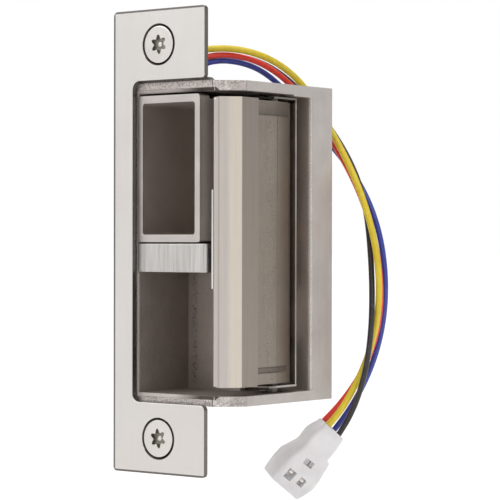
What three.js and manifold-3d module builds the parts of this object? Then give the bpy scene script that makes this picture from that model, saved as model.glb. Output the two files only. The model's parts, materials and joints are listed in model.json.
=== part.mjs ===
// Electric door strike for a mortise lock: a satin stainless faceplate, a cast
// housing with a deadbolt pocket and a latch cavity, a swinging keeper, the
// solenoid lock behind it, and four loose wires ending in a 2 x 2 connector.
// Units are millimetres. +X points to the keeper side, +Y goes back into the
// door frame, +Z is up. Y = 0 is the rear (seating) face of the faceplate and
// the origin is at the middle of that face.
import * as THREE from 'three';
import { mergeVertices } from 'three/addons/utils/BufferGeometryUtils.js';
import Module from 'manifold-3d';

const wasm = await Module();
wasm.setup();

// ------------------------------------------------------------------ dimensions
const GAP = 0.3;                    // clearance between touching pieces

// faceplate (ANSI size, 4-7/8 x 1-1/4 in)
const PLATE_W = 31.75, PLATE_H = 123.8, PLATE_T = 1.6, PLATE_R = 1.1;
const CUT_X = -9.03;                // left edge of the cut-out, open to +X
const CUT_HALF = 42.9;              // half height of the cut-out
const CUT_R = 2.2;
const SCREW_Z = 52.4;               // screws are 104.8 mm apart
const CSK_R = 5.55;                 // countersink radius at the front face
const HEAD_R = 5.25;                // screw head radius
const SHANK_R = 2.7;                // no. 12-24 screw
const SCREW_LEN = 14.0;

// housing (cast)
const BODY_X0 = -12.0, BODY_X1 = 23.8;      // left side, keeper side
const BODY_Y0 = GAP, BODY_Y1 = 45.0;        // front, back
const BODY_Z0 = -43.25, BODY_Z1 = 42.25;    // bottom, top
const BEVEL = 6.1;                          // 45 degree bevel at the front keeper edge
const CAV_X0 = -9.0;                        // inner face of the left wall
const CAV_Z0 = -40.6, CAV_Z1 = 39.6;        // cavity floor and ceiling
const HEEL_Z0 = -40.5, HEEL_Z1 = 39.2;      // the same, behind the keeper's heel
const HEEL_Y = 26.7;                        // where the ceiling steps down
const PILLAR_Y = 34.8, PILLAR_R = 1.2;      // front face of the rear pillar
const PILLAR_X = 12.0;
const PART_Y0 = 22.0, PART_Y1 = 24.0;       // wall behind the latch cavity
const PART_X1 = 9.2;
const EAR_X = 11.0, EAR_T = 3.0, EAR_Z = 60.5;

// rear cover
const COVER_T = 1.5, COVER_X0 = -10.6, COVER_X1 = 13.4, COVER_Z0 = -41.6, COVER_Z1 = 40.6;
const COVER_SCREWS = [[-6.4, 37.0], [9.2, 37.0], [-6.4, -38.0], [9.2, -38.0]];

// keeper
const PIVOT_X = 18.0, PIVOT_Y = 25.0;
const PIN_R = 1.6;
const KEEP_Z0 = -38.3, KEEP_Z1 = 38.0;
const KEEP_X = 22.8;                // outer face
const KEEP_IN = 17.2;               // inner face
const TIP_X = 17.75, TIP_Y = 0.5;   // front edge of the ramp
const CREASE_Y = 5.55;              // ramp meets the outer face
const HUB_R = 4.8;
const TAIL_R = 8.6, TAIL_W = 3.0, TAIL_Z0 = 0.5, TAIL_Z1 = 5.0, TAIL_A = 97;

// deadbolt pocket
const PKT_X0 = -8.7, PKT_X1 = 12.7, PKT_Z0 = -0.2, PKT_Z1 = 39.0;
const PKT_IX0 = -7.15, PKT_IX1 = 10.9, PKT_IZ0 = 1.86, PKT_IZ1 = 36.9;
const PKT_Y1 = 26.5, PKT_BACK = 1.5;

// deadlatch block
const BLK_X0 = -8.7, BLK_X1 = 14.7, BLK_Z0 = -8.2, BLK_Z1 = -0.55, BLK_Y1 = 19.0, BLK_R = 1.3;

// solenoid, axis along Z
const SOL_X = -2.0, SOL_Y = 31.6;
const SOL_HALF = 6.7, SOL_Z0 = -39.9, SOL_Z1 = -12.5, SOL_T = 1.5;
const BOB_R = 4.15, BOB_IR = 3.7, FLANGE_R = 6.3, COIL_R = 6.15;
const PLUNGER_R = 3.35, STROKE = 4.3;
const LEVER_X = 5.0, LEVER_Z = 0.0, LEVER_ARM = 7.0, LEVER_REST = -18.0; // degrees
const LEVER_T = 3.0;

// wires
const WIRE_R = 0.8, YELLOW_R = 0.92;

// centre lines of the loose wires, from the grommet to the connector
const ROUTES = {
  yellow: [
    [-7, 14.2, 41.9], [-6.76, 14.08, 46.48], [-4.91, 15.68, 50.3], [-2, 18.64, 52.26],
    [1.04, 22.04, 52.92], [3.93, 25.64, 52.87], [6.5, 29.42, 52.23], [8.6, 33.35, 51.02],
    [10.14, 37.35, 49.32], [11.2, 41.32, 47.2], [12.21, 44.94, 44.53], [13.68, 47.62, 41.1],
    [15.83, 48.78, 37.2], [18.24, 49.24, 33.29], [20.75, 49.44, 29.41], [23.27, 49.43, 25.54],
    [25.72, 49.31, 21.62], [28.02, 49.14, 17.62], [30.11, 49, 13.5], [31.93, 48.92, 9.26],
    [33.47, 48.89, 4.9], [34.69, 48.94, 0.45], [35.53, 49.07, -4.09], [35.97, 49.29, -8.68],
    [35.94, 49.6, -13.29], [35.42, 50.03, -17.86], [34.38, 50.56, -22.33], [32.92, 51.08, -26.68],
    [31.16, 51.45, -30.93], [29.22, 51.53, -35.12], [27.2, 51.18, -39.26], [25.21, 50.27, -43.33],
    [23.11, 48.93, -47.22], [20.63, 47.43, -50.81],
  ],
  red: [
    [-4.8, 14.6, 41.9], [-4.49, 15.66, 46.23], [-2.68, 18.11, 49.48], [-0.13, 21.48, 50.95],
    [2.27, 25.27, 51.25], [4.11, 29.37, 50.86], [5.45, 33.56, 49.94], [6.51, 37.7, 48.51],
    [7.47, 41.66, 46.57], [8.53, 45.26, 44.1], [9.91, 48.29, 41.07], [11.82, 50.39, 37.59],
    [14.21, 51.44, 33.93], [16.84, 51.77, 30.28], [19.54, 51.71, 26.68], [22.26, 51.45, 23.09],
    [24.87, 51.12, 19.43], [27.26, 50.88, 15.62], [29.35, 50.78, 11.63], [31.12, 50.84, 7.48],
    [32.55, 51.01, 3.21], [33.62, 51.27, -1.16], [34.32, 51.61, -5.6], [34.63, 52, -10.08],
    [34.52, 52.42, -14.56], [33.98, 52.84, -19.01], [32.98, 53.24, -23.39], [31.51, 53.58, -27.64],
    [29.64, 53.81, -31.73], [27.46, 53.83, -35.67], [25.05, 53.54, -39.46], [22.49, 52.84, -43.11],
    [19.89, 51.65, -46.59], [17.35, 49.88, -49.86],
  ],
  blue: [
    [-2.6, 15.4, 41.9], [-2.71, 17.07, 46.04], [-1.43, 20.32, 48.79], [0.42, 24.3, 49.74],
    [2.02, 28.51, 49.68], [3.08, 32.85, 49.05], [3.59, 37.2, 47.99], [3.93, 41.41, 46.42],
    [4.62, 45.25, 44.18], [5.77, 48.57, 41.36], [7.36, 51.3, 38.15], [9.38, 53.42, 34.72],
    [11.81, 54.93, 31.24], [14.62, 55.84, 27.83], [17.62, 56.26, 24.5], [20.67, 56.32, 21.17],
    [23.6, 56.15, 17.74], [26.3, 55.86, 14.14], [28.68, 55.52, 10.33], [30.7, 55.18, 6.31],
    [32.32, 54.91, 2.11], [33.48, 54.75, -2.25], [34.15, 54.77, -6.71], [34.33, 54.97, -11.21],
    [34.08, 55.27, -15.7], [33.45, 55.58, -20.16], [32.48, 55.83, -24.55], [31.2, 55.96, -28.88],
    [29.65, 55.96, -33.11], [27.85, 55.77, -37.24], [25.83, 55.4, -41.26], [23.62, 54.79, -45.15],
    [21.26, 53.94, -48.9], [18.79, 52.82, -52.5],
  ],
  black: [
    [-4.8, 17.8, 41.9], [-4.91, 18.47, 46.37], [-3.77, 21.12, 49.79], [-1.82, 24.96, 51.2],
    [0.21, 29.03, 51.45], [1.89, 33.24, 51.08], [3.07, 37.57, 50.25], [4.1, 41.8, 48.92],
    [5.34, 45.71, 46.95], [7.16, 48.87, 44.24], [9.47, 51.11, 41.02], [12.04, 52.57, 37.56],
    [14.74, 53.46, 33.99], [17.48, 53.91, 30.38], [20.17, 54.02, 26.71], [22.74, 53.9, 22.94],
    [25.07, 53.62, 19.03], [27.07, 53.27, 14.95], [28.63, 52.95, 10.68], [29.81, 52.62, 6.29],
    [30.78, 52.16, 1.86], [31.69, 51.49, -2.56], [32.67, 50.54, -6.91], [33.63, 49.46, -11.23],
    [34.39, 48.45, -15.61], [34.76, 47.77, -20.1], [34.53, 47.64, -24.64], [33.74, 48, -29.11],
    [32.49, 48.64, -33.45], [30.9, 49.4, -37.65], [29.01, 50.12, -41.74], [26.88, 50.64, -45.73],
    [24.54, 50.8, -49.64], [22.07, 50.37, -53.44],
  ],
};
// the connector hangs from the wires: its wire end, its two side directions and its axis
const CONN = { at: [19.5517, 50.0000, -51.8757], a: [0.3426, 0.6990, -0.6276], b: [0.7799, -0.5841, -0.2248], axis: [-0.5238, -0.4124, -0.7453] };

// ------------------------------------------------------------------ helpers
function solid(geometry) {
  let g = geometry.index ? geometry.clone() : geometry.clone();
  g.deleteAttribute('normal');
  g.deleteAttribute('uv');
  g = mergeVertices(g, 1e-4);
  return new wasm.Manifold(new wasm.Mesh({
    numProp: 3,
    vertProperties: new Float32Array(g.attributes.position.array),
    triVerts: new Uint32Array(g.index.array),
  }));
}
function toGeometry(man) {
  const m = man.getMesh();
  const g = new THREE.BufferGeometry();
  g.setAttribute('position', new THREE.BufferAttribute(new Float32Array(m.vertProperties), 3));
  g.setIndex(new THREE.BufferAttribute(new Uint32Array(m.triVerts), 1));
  g.computeVertexNormals();
  return g;
}
function box(x0, x1, y0, y1, z0, z1) {
  const g = new THREE.BoxGeometry(x1 - x0, y1 - y0, z1 - z0);
  g.translate((x0 + x1) / 2, (y0 + y1) / 2, (z0 + z1) / 2);
  return solid(g);
}
// cylinder (or cone) along an axis from a to b
function rod(axis, cx, cy, cz, r0, r1, len, seg = 32) {
  const g = new THREE.CylinderGeometry(r1, r0, len, seg);
  g.translate(0, len / 2, 0);
  if (axis === 'z') g.rotateX(Math.PI / 2);
  if (axis === 'x') g.rotateZ(-Math.PI / 2);
  g.translate(cx, cy, cz);
  return solid(g);
}
function shapeOf(pts) {
  const s = new THREE.Shape();
  pts.forEach(([x, y], i) => (i ? s.lineTo(x, y) : s.moveTo(x, y)));
  s.closePath();
  return s;
}
// outline in XY, pushed along Z
function prismZ(pts, z0, z1) {
  const g = new THREE.ExtrudeGeometry(shapeOf(pts), { depth: z1 - z0, bevelEnabled: false });
  g.translate(0, 0, z0);
  return solid(g);
}
// outline in XZ, pushed along Y from y0 to y1
function prismY(pts, y0, y1, holes = []) {
  const s = shapeOf(pts);
  holes.forEach((h) => s.holes.push(new THREE.Path(h.map(([x, y]) => new THREE.Vector2(x, y)))));
  const g = new THREE.ExtrudeGeometry(s, { depth: y1 - y0, bevelEnabled: false });
  g.rotateX(Math.PI / 2);
  g.translate(0, y1, 0);
  return solid(g);
}
// corner list with each corner rounded by its own radius: [x, y, r]
function rounded(corners, steps = 6) {
  const out = [];
  const n = corners.length;
  for (let i = 0; i < n; i++) {
    const [x, y, r = 0] = corners[i];
    if (!r) { out.push([x, y]); continue; }
    const p = corners[(i + n - 1) % n], q = corners[(i + 1) % n];
    const a = new THREE.Vector2(p[0] - x, p[1] - y).normalize();
    const b = new THREE.Vector2(q[0] - x, q[1] - y).normalize();
    const half = Math.acos(Math.max(-1, Math.min(1, a.dot(b)))) / 2;
    const t = r / Math.tan(half);
    const c = a.clone().add(b).normalize().multiplyScalar(r / Math.sin(half));
    const s0 = Math.atan2(a.y * t - c.y, a.x * t - c.x);
    let s1 = Math.atan2(b.y * t - c.y, b.x * t - c.x);
    let d = s1 - s0;
    while (d > Math.PI) d -= 2 * Math.PI;
    while (d < -Math.PI) d += 2 * Math.PI;
    for (let k = 0; k <= steps; k++) {
      const ang = s0 + (d * k) / steps;
      out.push([x + c.x + r * Math.cos(ang), y + c.y + r * Math.sin(ang)]);
    }
  }
  return out;
}
function arc(cx, cy, r, a0, a1, n) {
  const out = [];
  for (let k = 0; k <= n; k++) {
    const a = THREE.MathUtils.degToRad(a0 + ((a1 - a0) * k) / n);
    out.push([cx + r * Math.cos(a), cy + r * Math.sin(a)]);
  }
  return out;
}
const rect = (x0, x1, y0, y1) => [[x0, y0], [x1, y0], [x1, y1], [x0, y1]];
// a round wire along a path of points, drawn as a tube of the given number of sides
function tube(curve, r, steps, sides = 8) {
  const s = shapeOf(arc(0, 0, r, 0, 360 - 360 / sides, sides - 1));
  return solid(new THREE.ExtrudeGeometry(s, { steps, extrudePath: curve, bevelEnabled: false }));
}
class Helix extends THREE.Curve {
  constructor(cx, cy, z0, z1, r, turns, legs = null) {
    super(); Object.assign(this, { cx, cy, z0, z1, r, turns, legs });
  }
  getPoint(t, target = new THREE.Vector3()) {
    const a = 2 * Math.PI * this.turns * t;
    return target.set(this.cx + this.r * Math.cos(a), this.cy + this.r * Math.sin(a), this.z0 + (this.z1 - this.z0) * t);
  }
}

const object = new THREE.Group();
function add(name, shape, color, roughness, metalness, parent = object) {
  const mesh = new THREE.Mesh(
    shape instanceof THREE.BufferGeometry ? shape : toGeometry(shape),
    new THREE.MeshStandardMaterial({ color, roughness, metalness }));
  mesh.name = name;
  parent.add(mesh);
  return mesh;
}

// ------------------------------------------------------------------ faceplate
{
  const hw = PLATE_W / 2, hh = PLATE_H / 2;
  const outline = rounded([
    [-hw, -hh, PLATE_R], [hw, -hh, PLATE_R], [hw, -CUT_HALF, 1.4], [CUT_X, -CUT_HALF, CUT_R],
    [CUT_X, CUT_HALF, CUT_R], [hw, CUT_HALF, 0.5], [hw, hh, PLATE_R], [-hw, hh, PLATE_R],
  ]);
  let plate = prismY(outline, -PLATE_T, 0);
  for (const s of [1, -1]) {
    const deep = PLATE_T + 0.2;
    plate = plate.subtract(rod('y', 0, -PLATE_T - 0.1, s * SCREW_Z,
      CSK_R + 0.1 * Math.tan(THREE.MathUtils.degToRad(41)),
      CSK_R - (deep - 0.1) * Math.tan(THREE.MathUtils.degToRad(41)), deep, 48));
  }
  add('faceplate', plate, 0xd8d3ce, 0.38, 0.9);
}

// countersunk screws with a star recess and a centre pin
function starPoints(cx, cz, R, r) {
  const out = [];
  for (let i = 0; i < 12; i++) {
    const a = (Math.PI * 2 * i) / 12 + 0.26;
    const q = i % 2 ? r : R;
    out.push([cx + q * Math.cos(a), cz + q * Math.sin(a)]);
  }
  return out;
}
for (const [name, s] of [['faceplate_screw_top', 1], ['faceplate_screw_bottom', -1]]) {
  const headDepth = 2.6;
  const small = HEAD_R - (headDepth) * Math.tan(THREE.MathUtils.degToRad(41));
  let screw = rod('y', 0, -PLATE_T + 0.02, s * SCREW_Z, HEAD_R, small, headDepth, 48)
    .add(rod('y', 0, -PLATE_T + headDepth - 0.1, s * SCREW_Z, SHANK_R, SHANK_R, SCREW_LEN - headDepth - 1, 32))
    .add(rod('y', 0, -PLATE_T + SCREW_LEN - 1.2, s * SCREW_Z, SHANK_R, SHANK_R * 0.7, 1.2, 32));
  const star = prismY(starPoints(0, s * SCREW_Z, 2.55, 1.65), -PLATE_T - 1, -PLATE_T + 1.9)
    .subtract(rod('y', 0, -PLATE_T - 1.1, s * SCREW_Z, 0.85, 0.85, 4, 20));
  screw = screw.subtract(star);
  add(name, screw, 0xcfcac6, 0.35, 0.9);
}

// ------------------------------------------------------------------ housing
{
  const plan = rounded([
    [BODY_X0, BODY_Y0, 0.8], [BODY_X1 - BEVEL, BODY_Y0, 0], [BODY_X1, BODY_Y0 + BEVEL, 1.6],
    [BODY_X1, BODY_Y1, 1.0], [BODY_X0, BODY_Y1, 1.0],
  ], 5);
  let h = prismZ(plan, BODY_Z0, BODY_Z1);
  // ears behind the faceplate tabs
  const ear = (z0, z1, s) => prismY(rounded(s > 0
    ? [[-EAR_X, z0, 0], [EAR_X, z0, 0], [EAR_X, z1, 3], [-EAR_X, z1, 3]]
    : [[-EAR_X, z1, 3], [EAR_X, z1, 3], [EAR_X, z0, 0], [-EAR_X, z0, 0]]), BODY_Y0, BODY_Y0 + EAR_T);
  h = h.add(ear(BODY_Z1 - 2, EAR_Z, 1)).add(ear(BODY_Z0 + 2, -EAR_Z, -1));
  for (const s of [1, -1]) {
    h = h.subtract(rod('y', 0, -1, s * SCREW_Z, 4.9, 2.3, 3.0, 40))
      .subtract(rod('y', 0, -1, s * SCREW_Z, SHANK_R + GAP, SHANK_R + GAP, 8, 32));
  }
  // front cavity, open to the front and to the keeper side
  h = h.subtract(box(CAV_X0, 40, -2, PART_Y0, CAV_Z0, CAV_Z1));
  // softened inner front edge
  const lead = 0.9;
  const wedge = (sgn, z) => {
    const pts = sgn > 0 ? [[-1.2, z - 1.5], [1.4, z - 1.5], [BODY_Y0 + lead, z], [-1.2, z + lead + 1.2 + BODY_Y0]]
      : [[-1.2, z - lead - 1.2 - BODY_Y0], [BODY_Y0 + lead, z], [1.4, z + 1.5], [-1.2, z + 1.5]];
    const g = new THREE.ExtrudeGeometry(shapeOf(pts), { depth: 26.5, bevelEnabled: false });
    // outline is in YZ, pushed along X
    g.applyMatrix4(new THREE.Matrix4().set(0, 0, 1, -8.9, 1, 0, 0, 0, 0, 1, 0, 0, 0, 0, 0, 1));
    return solid(g);
  };
  h = h.subtract(wedge(1, CAV_Z1)).subtract(wedge(-1, CAV_Z0));
  // keeper bay, and the lower ceiling behind the keeper's heel
  h = h.subtract(box(PART_X1, 40, PART_Y0 - 1, HEEL_Y, CAV_Z0, CAV_Z1));
  const bay = rounded([[PART_X1, HEEL_Y - 1, 0], [40, HEEL_Y - 1, 0], [40, 60, 0], [BODY_X1, 60, 0], [BODY_X1, PILLAR_Y, 0], [PART_X1, PILLAR_Y, 0]]);
  const edge = [[BODY_X1 + 5, PILLAR_Y - 2], ...arc(BODY_X1 - PILLAR_R, PILLAR_Y + PILLAR_R, PILLAR_R, -90, 0, 6), [BODY_X1 + 5, PILLAR_Y + PILLAR_R]];
  h = h.subtract(box(PART_X1, 40, HEEL_Y - 1, PILLAR_Y, HEEL_Z0, HEEL_Z1))
    .subtract(prismZ([[BODY_X1 - PILLAR_R, PILLAR_Y - 2], ...edge.slice(0, 1), [BODY_X1 + 5, PILLAR_Y + PILLAR_R], ...arc(BODY_X1 - PILLAR_R, PILLAR_Y + PILLAR_R, PILLAR_R, 0, -90, 6)], HEEL_Z0, HEEL_Z1));
  // the wall behind the latch cavity stops below the deadbolt pocket
  h = h.subtract(box(CAV_X0, PART_X1 + 1, PART_Y0 - 1, 28.2, -0.5, CAV_Z1));
  // rear compartment for the solenoid, and the seat of the rear cover
  h = h.subtract(box(CAV_X0, PILLAR_X, PART_Y1, BODY_Y1 - COVER_T, CAV_Z0, CAV_Z1));
  h = h.subtract(box(COVER_X0 - GAP, COVER_X1 + GAP, BODY_Y1 - COVER_T - GAP, 50, COVER_Z0 - GAP, COVER_Z1 + GAP));
  h = h.subtract(box(CAV_X0, PILLAR_X, BODY_Y1 - COVER_T - 2, BODY_Y1, CAV_Z0, CAV_Z1));
  // posts for the rear cover screws
  for (const [x, z] of COVER_SCREWS) {
    const up = z > 0;
    let post = box(x - 2.5, x + 2.5, 40.0, BODY_Y1 - COVER_T - GAP, up ? z - 2.4 : CAV_Z0 - 0.4, up ? CAV_Z1 + 0.4 : z + 2.4);
    h = h.add(post);
  }
  for (const [x, z] of COVER_SCREWS) h = h.subtract(rod('y', x, 36, z, 1.25, 1.25, 12, 24));
  // hinge pin bores in the top and bottom walls
  h = h.subtract(rod('z', PIVOT_X, PIVOT_Y, BODY_Z0 + 0.9, 2.9, 2.9, 90 - 5.4, 32));
  // wire slot in the top wall and the channel that leads to it
  h = h.subtract(box(CAV_X0 + 0.2, 0.2, 12.4, 29, CAV_Z1 - 1, 40.9));
  h = h.subtract(prismZ(rounded([[-8.6, 12.8, 1], [0, 12.8, 1], [0, 19.4, 1], [-8.6, 19.4, 1]], 4), 39, 50));
  // hole for the deadlatch block's screw
  h = h.subtract(rod('x', BODY_X0 - 1, 10, -4.4, 1.75, 1.75, 6, 24));
  h = h.subtract(rod('x', BODY_X0 - 0.2, 10, -4.4, 3.35, 1.6, 1.95, 24));
  add('housing', h, 0xa6a19c, 0.55, 0.6);
}

// rear cover and its screws
{
  let c = prismY(rounded([[COVER_X0, COVER_Z0, 2], [COVER_X1, COVER_Z0, 2], [COVER_X1, COVER_Z1, 2], [COVER_X0, COVER_Z1, 2]], 4), BODY_Y1 - COVER_T, BODY_Y1);
  for (const [x, z] of COVER_SCREWS) c = c.subtract(rod('y', x, BODY_Y1 - COVER_T - 0.1, z, 1.55, 2.75, COVER_T + 0.2, 24));
  add('rear_cover', c, 0xb9b6b2, 0.45, 0.85);
  COVER_SCREWS.forEach(([x, z], i) => {
    const names = ['rear_cover_screw_top_left', 'rear_cover_screw_top_right', 'rear_cover_screw_bottom_left', 'rear_cover_screw_bottom_right'];
    let s = rod('y', x, BODY_Y1 - 1.35, z, 1.0, 2.3, 1.3, 24).add(rod('y', x, BODY_Y1 - 5.0, z, 0.95, 0.95, 4, 20));
    s = s.subtract(box(x - 3, x + 3, BODY_Y1 - 0.6, BODY_Y1 + 1, z - 0.3, z + 0.3)).subtract(box(x - 0.3, x + 0.3, BODY_Y1 - 0.6, BODY_Y1 + 1, z - 3, z + 3));
    add(names[i], s, 0x9c9a98, 0.35, 0.9);
  });
}

// ------------------------------------------------------------------ keeper and its hinge
{
  // outline in plan, starting at the ramp's front edge
  const side = [];
  const R = 35;
  for (let k = 0; k <= 6; k++) {
    const y = 18 + (10.2 * k) / 6;
    side.push([KEEP_X - R + Math.sqrt(R * R - (y - 18) * (y - 18)), y]);
  }
  const plan = [
    ...rounded([[KEEP_IN, 6, 0], [KEEP_IN, TIP_Y - 0.15, 0.35], [TIP_X + 0.05, TIP_Y - 0.15, 0.25], [KEEP_X, CREASE_Y, 0.3], [KEEP_X, 12, 0]], 4).slice(0, -1),
    ...side,
    ...arc(PIVOT_X, PIVOT_Y, HUB_R, 50, 218, 22),
    [KEEP_IN - 1.6, 18.4], [KEEP_IN, 15.6],
  ];
  let k = prismZ(plan, KEEP_Z0, KEEP_Z1);
  // locking tail on the hub
  const a = THREE.MathUtils.degToRad(TAIL_A);
  const tail = new THREE.BoxGeometry(TAIL_R - 2, TAIL_W, TAIL_Z1 - TAIL_Z0);
  tail.translate((TAIL_R + 2) / 2, 0, (TAIL_Z0 + TAIL_Z1) / 2);
  tail.rotateZ(a);
  tail.translate(PIVOT_X, PIVOT_Y, 0);
  k = k.add(solid(tail));
  // bore for the pin
  k = k.subtract(rod('z', PIVOT_X, PIVOT_Y, KEEP_Z0 - 1, PIN_R + GAP, PIN_R + GAP, 80, 24));
  // bay for the torsion spring, open to the inside
  k = k.subtract(rod('z', PIVOT_X, PIVOT_Y, -26, 3.6, 3.6, 12, 32)).subtract(box(11, PIVOT_X, 19.2, 32, -26, -14))
    .subtract(box(11, 17.4, 16, 20, -26, -14)).subtract(box(PIVOT_X, 21.5, 20.0, PIVOT_Y, -25.4, -23.8));
  // relief at the top of the outer face, rounded at its rear end
  const relief = (y0, y1, z0, z1, r) => {
    const pts = rounded([[y0, z0, 0], [y1, z0, r], [y1, z1, r], [y0, z1, 0]], 6);
    const g = new THREE.ExtrudeGeometry(shapeOf(pts), { depth: 4, bevelEnabled: false });
    g.applyMatrix4(new THREE.Matrix4().set(0, 0, 1, 0, 1, 0, 0, 0, 0, 1, 0, 0, 0, 0, 0, 1));
    return g;
  };
  const top = relief(12.6, 26.9, 33.7, 37.2, 1.6); top.translate(KEEP_X - 0.7, 0, 0); k = k.subtract(solid(top));
  const low = relief(12.4, 26.0, -35.0, -33.4, 0.7); low.translate(KEEP_X - 0.7, 0, 0); k = k.subtract(solid(low));
  // the ends step in from the middle of the outer face to the heel
  k = k.subtract(box(10, 30, 12.6, 40, KEEP_Z1 - 0.5, KEEP_Z1 + 1)).subtract(box(10, 30, 12.2, 40, KEEP_Z0 - 1, KEEP_Z0 + 0.4));
  add('keeper', k, 0xbfb4a8, 0.32, 0.95);

  // thin plate on the inner face of the keeper, where the latch bears
  const wear = prismZ(rounded([[16.3, 0.75, 0.15], [16.9, 0.75, 0.15], [16.9, 14.5, 0], [16.3, 14.5, 0.2]], 3), -12.4, 13.6);
  add('keeper_wear_plate', wear, 0xcfc9c3, 0.3, 0.95);

  // stainless hinge bracket: two flanges joined by a narrow web behind the heel
  const t = 0.55, bx0 = 13.6, bx1 = 22.3, wy0 = 30.0, wy1 = 30.0 + t;
  const zb = -38.6, zt = 38.3;
  const ring = (y0) => rounded([[bx0, y0 + 2, 1], [bx0 + 2, y0, 1], [bx1, y0, 0.8], [bx1, wy1, 0.6], [bx0, wy1, 0.6]], 4);
  let b = prismZ(ring(18.3), zb - t, zb).add(prismZ(ring(20.5), zt, zt + t))
    .add(box(19.2, 21.9, wy0, wy1, zb - 0.1, zt + 0.1));
  b = b.subtract(rod('z', PIVOT_X, PIVOT_Y, -45, PIN_R + GAP, PIN_R + GAP, 90, 24));
  add('keeper_hinge_bracket', b, 0xd5d1cd, 0.28, 0.95);

  let pin = rod('z', PIVOT_X, PIVOT_Y, -41.9, PIN_R, PIN_R, 83.0, 24);
  add('keeper_pivot_pin', pin, 0x9a9a9a, 0.3, 0.95);
  for (const [name, z0] of [['pivot_bushing_upper', 39.25], ['pivot_bushing_lower', -42.1]]) {
    add(name, rod('z', PIVOT_X, PIVOT_Y, z0, 2.6, 2.6, name.endsWith('upper') ? 1.8 : 1.5, 32)
      .subtract(rod('z', PIVOT_X, PIVOT_Y, z0 - 1, PIN_R + 0.25, PIN_R + 0.25, 6, 24)), 0xb08d57, 0.4, 0.85);
  }
  // torsion spring round the pin, one leg on the keeper and one on the wall
  class Torsion extends THREE.Curve {
    getPoint(t, v = new THREE.Vector3()) {
      const turns = 5.25, r = 2.85, z0 = -24.6, z1 = -16.4;
      const leg = 0.09;
      if (t < leg) { const s = 1 - t / leg; return v.set(PIVOT_X + r, PIVOT_Y - s * 4.6, z0); }
      if (t > 1 - leg) { const s = (t - (1 - leg)) / leg; return v.set(PIVOT_X - s * 6.6, PIVOT_Y + r, z1); }
      const q = (t - leg) / (1 - 2 * leg), a = 2 * Math.PI * turns * q;
      return v.set(PIVOT_X + r * Math.cos(a), PIVOT_Y + r * Math.sin(a), z0 + (z1 - z0) * q);
    }
  }
  add('keeper_return_spring', tube(new Torsion(), 0.45, 150, 6), 0x8c8c8c, 0.35, 0.9);
}

// ------------------------------------------------------------------ deadbolt pocket and deadlatch block
{
  const rim = rounded([[PKT_X0, PKT_Z0, 0.7], [PKT_X1, PKT_Z0, 0.7], [PKT_X1, PKT_Z1, 0.9], [PKT_X0, PKT_Z1, 0.7]], 3);
  const inner = rounded([[PKT_IX0, PKT_IZ0, 0.7], [PKT_IX1, PKT_IZ0, 0.7], [PKT_IX1, PKT_IZ1, 0.7], [PKT_IX0, PKT_IZ1, 0.7]], 3);
  let p = prismY(rim, GAP, PKT_Y1).subtract(prismY(inner, -1, PKT_Y1 - PKT_BACK));
  p = p.subtract(box(-20, 20, 4.5, 40, PKT_IZ1 + 1.0, 45));
  // clearance notch for the keeper's tail at the lower rear corner
  p = p.subtract(box(8.4, 15, 23.9, 30, -1, 5.7));
  add('deadbolt_pocket', p, 0xc3bebb, 0.4, 0.85);

  const plan = rounded([[BLK_X0, GAP, 0.4], [BLK_X1, GAP, BLK_R], [BLK_X1, BLK_Y1, 1.0], [BLK_X0, BLK_Y1, 0]], 5);
  let b = prismZ(plan, BLK_Z0, BLK_Z1).subtract(rod('x', -12, 10, -4.4, 1.55, 1.55, 11.5, 20));
  add('deadlatch_block', b, 0xc8c6c2, 0.3, 0.95);
  let s = rod('x', BODY_X0 + 0.05, 10, -4.4, 2.9, 1.3, 1.6, 24).add(rod('x', BODY_X0 + 1.2, 10, -4.4, 1.25, 1.25, 9.6, 20));
  s = s.subtract(box(BODY_X0 - 1, BODY_X0 + 0.8, 9.65, 10.35, -8, 0)).subtract(box(BODY_X0 - 1, BODY_X0 + 0.8, 6, 14, -4.75, -4.05));
  add('deadlatch_block_screw', s, 0x9c9a98, 0.35, 0.9);
}

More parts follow.
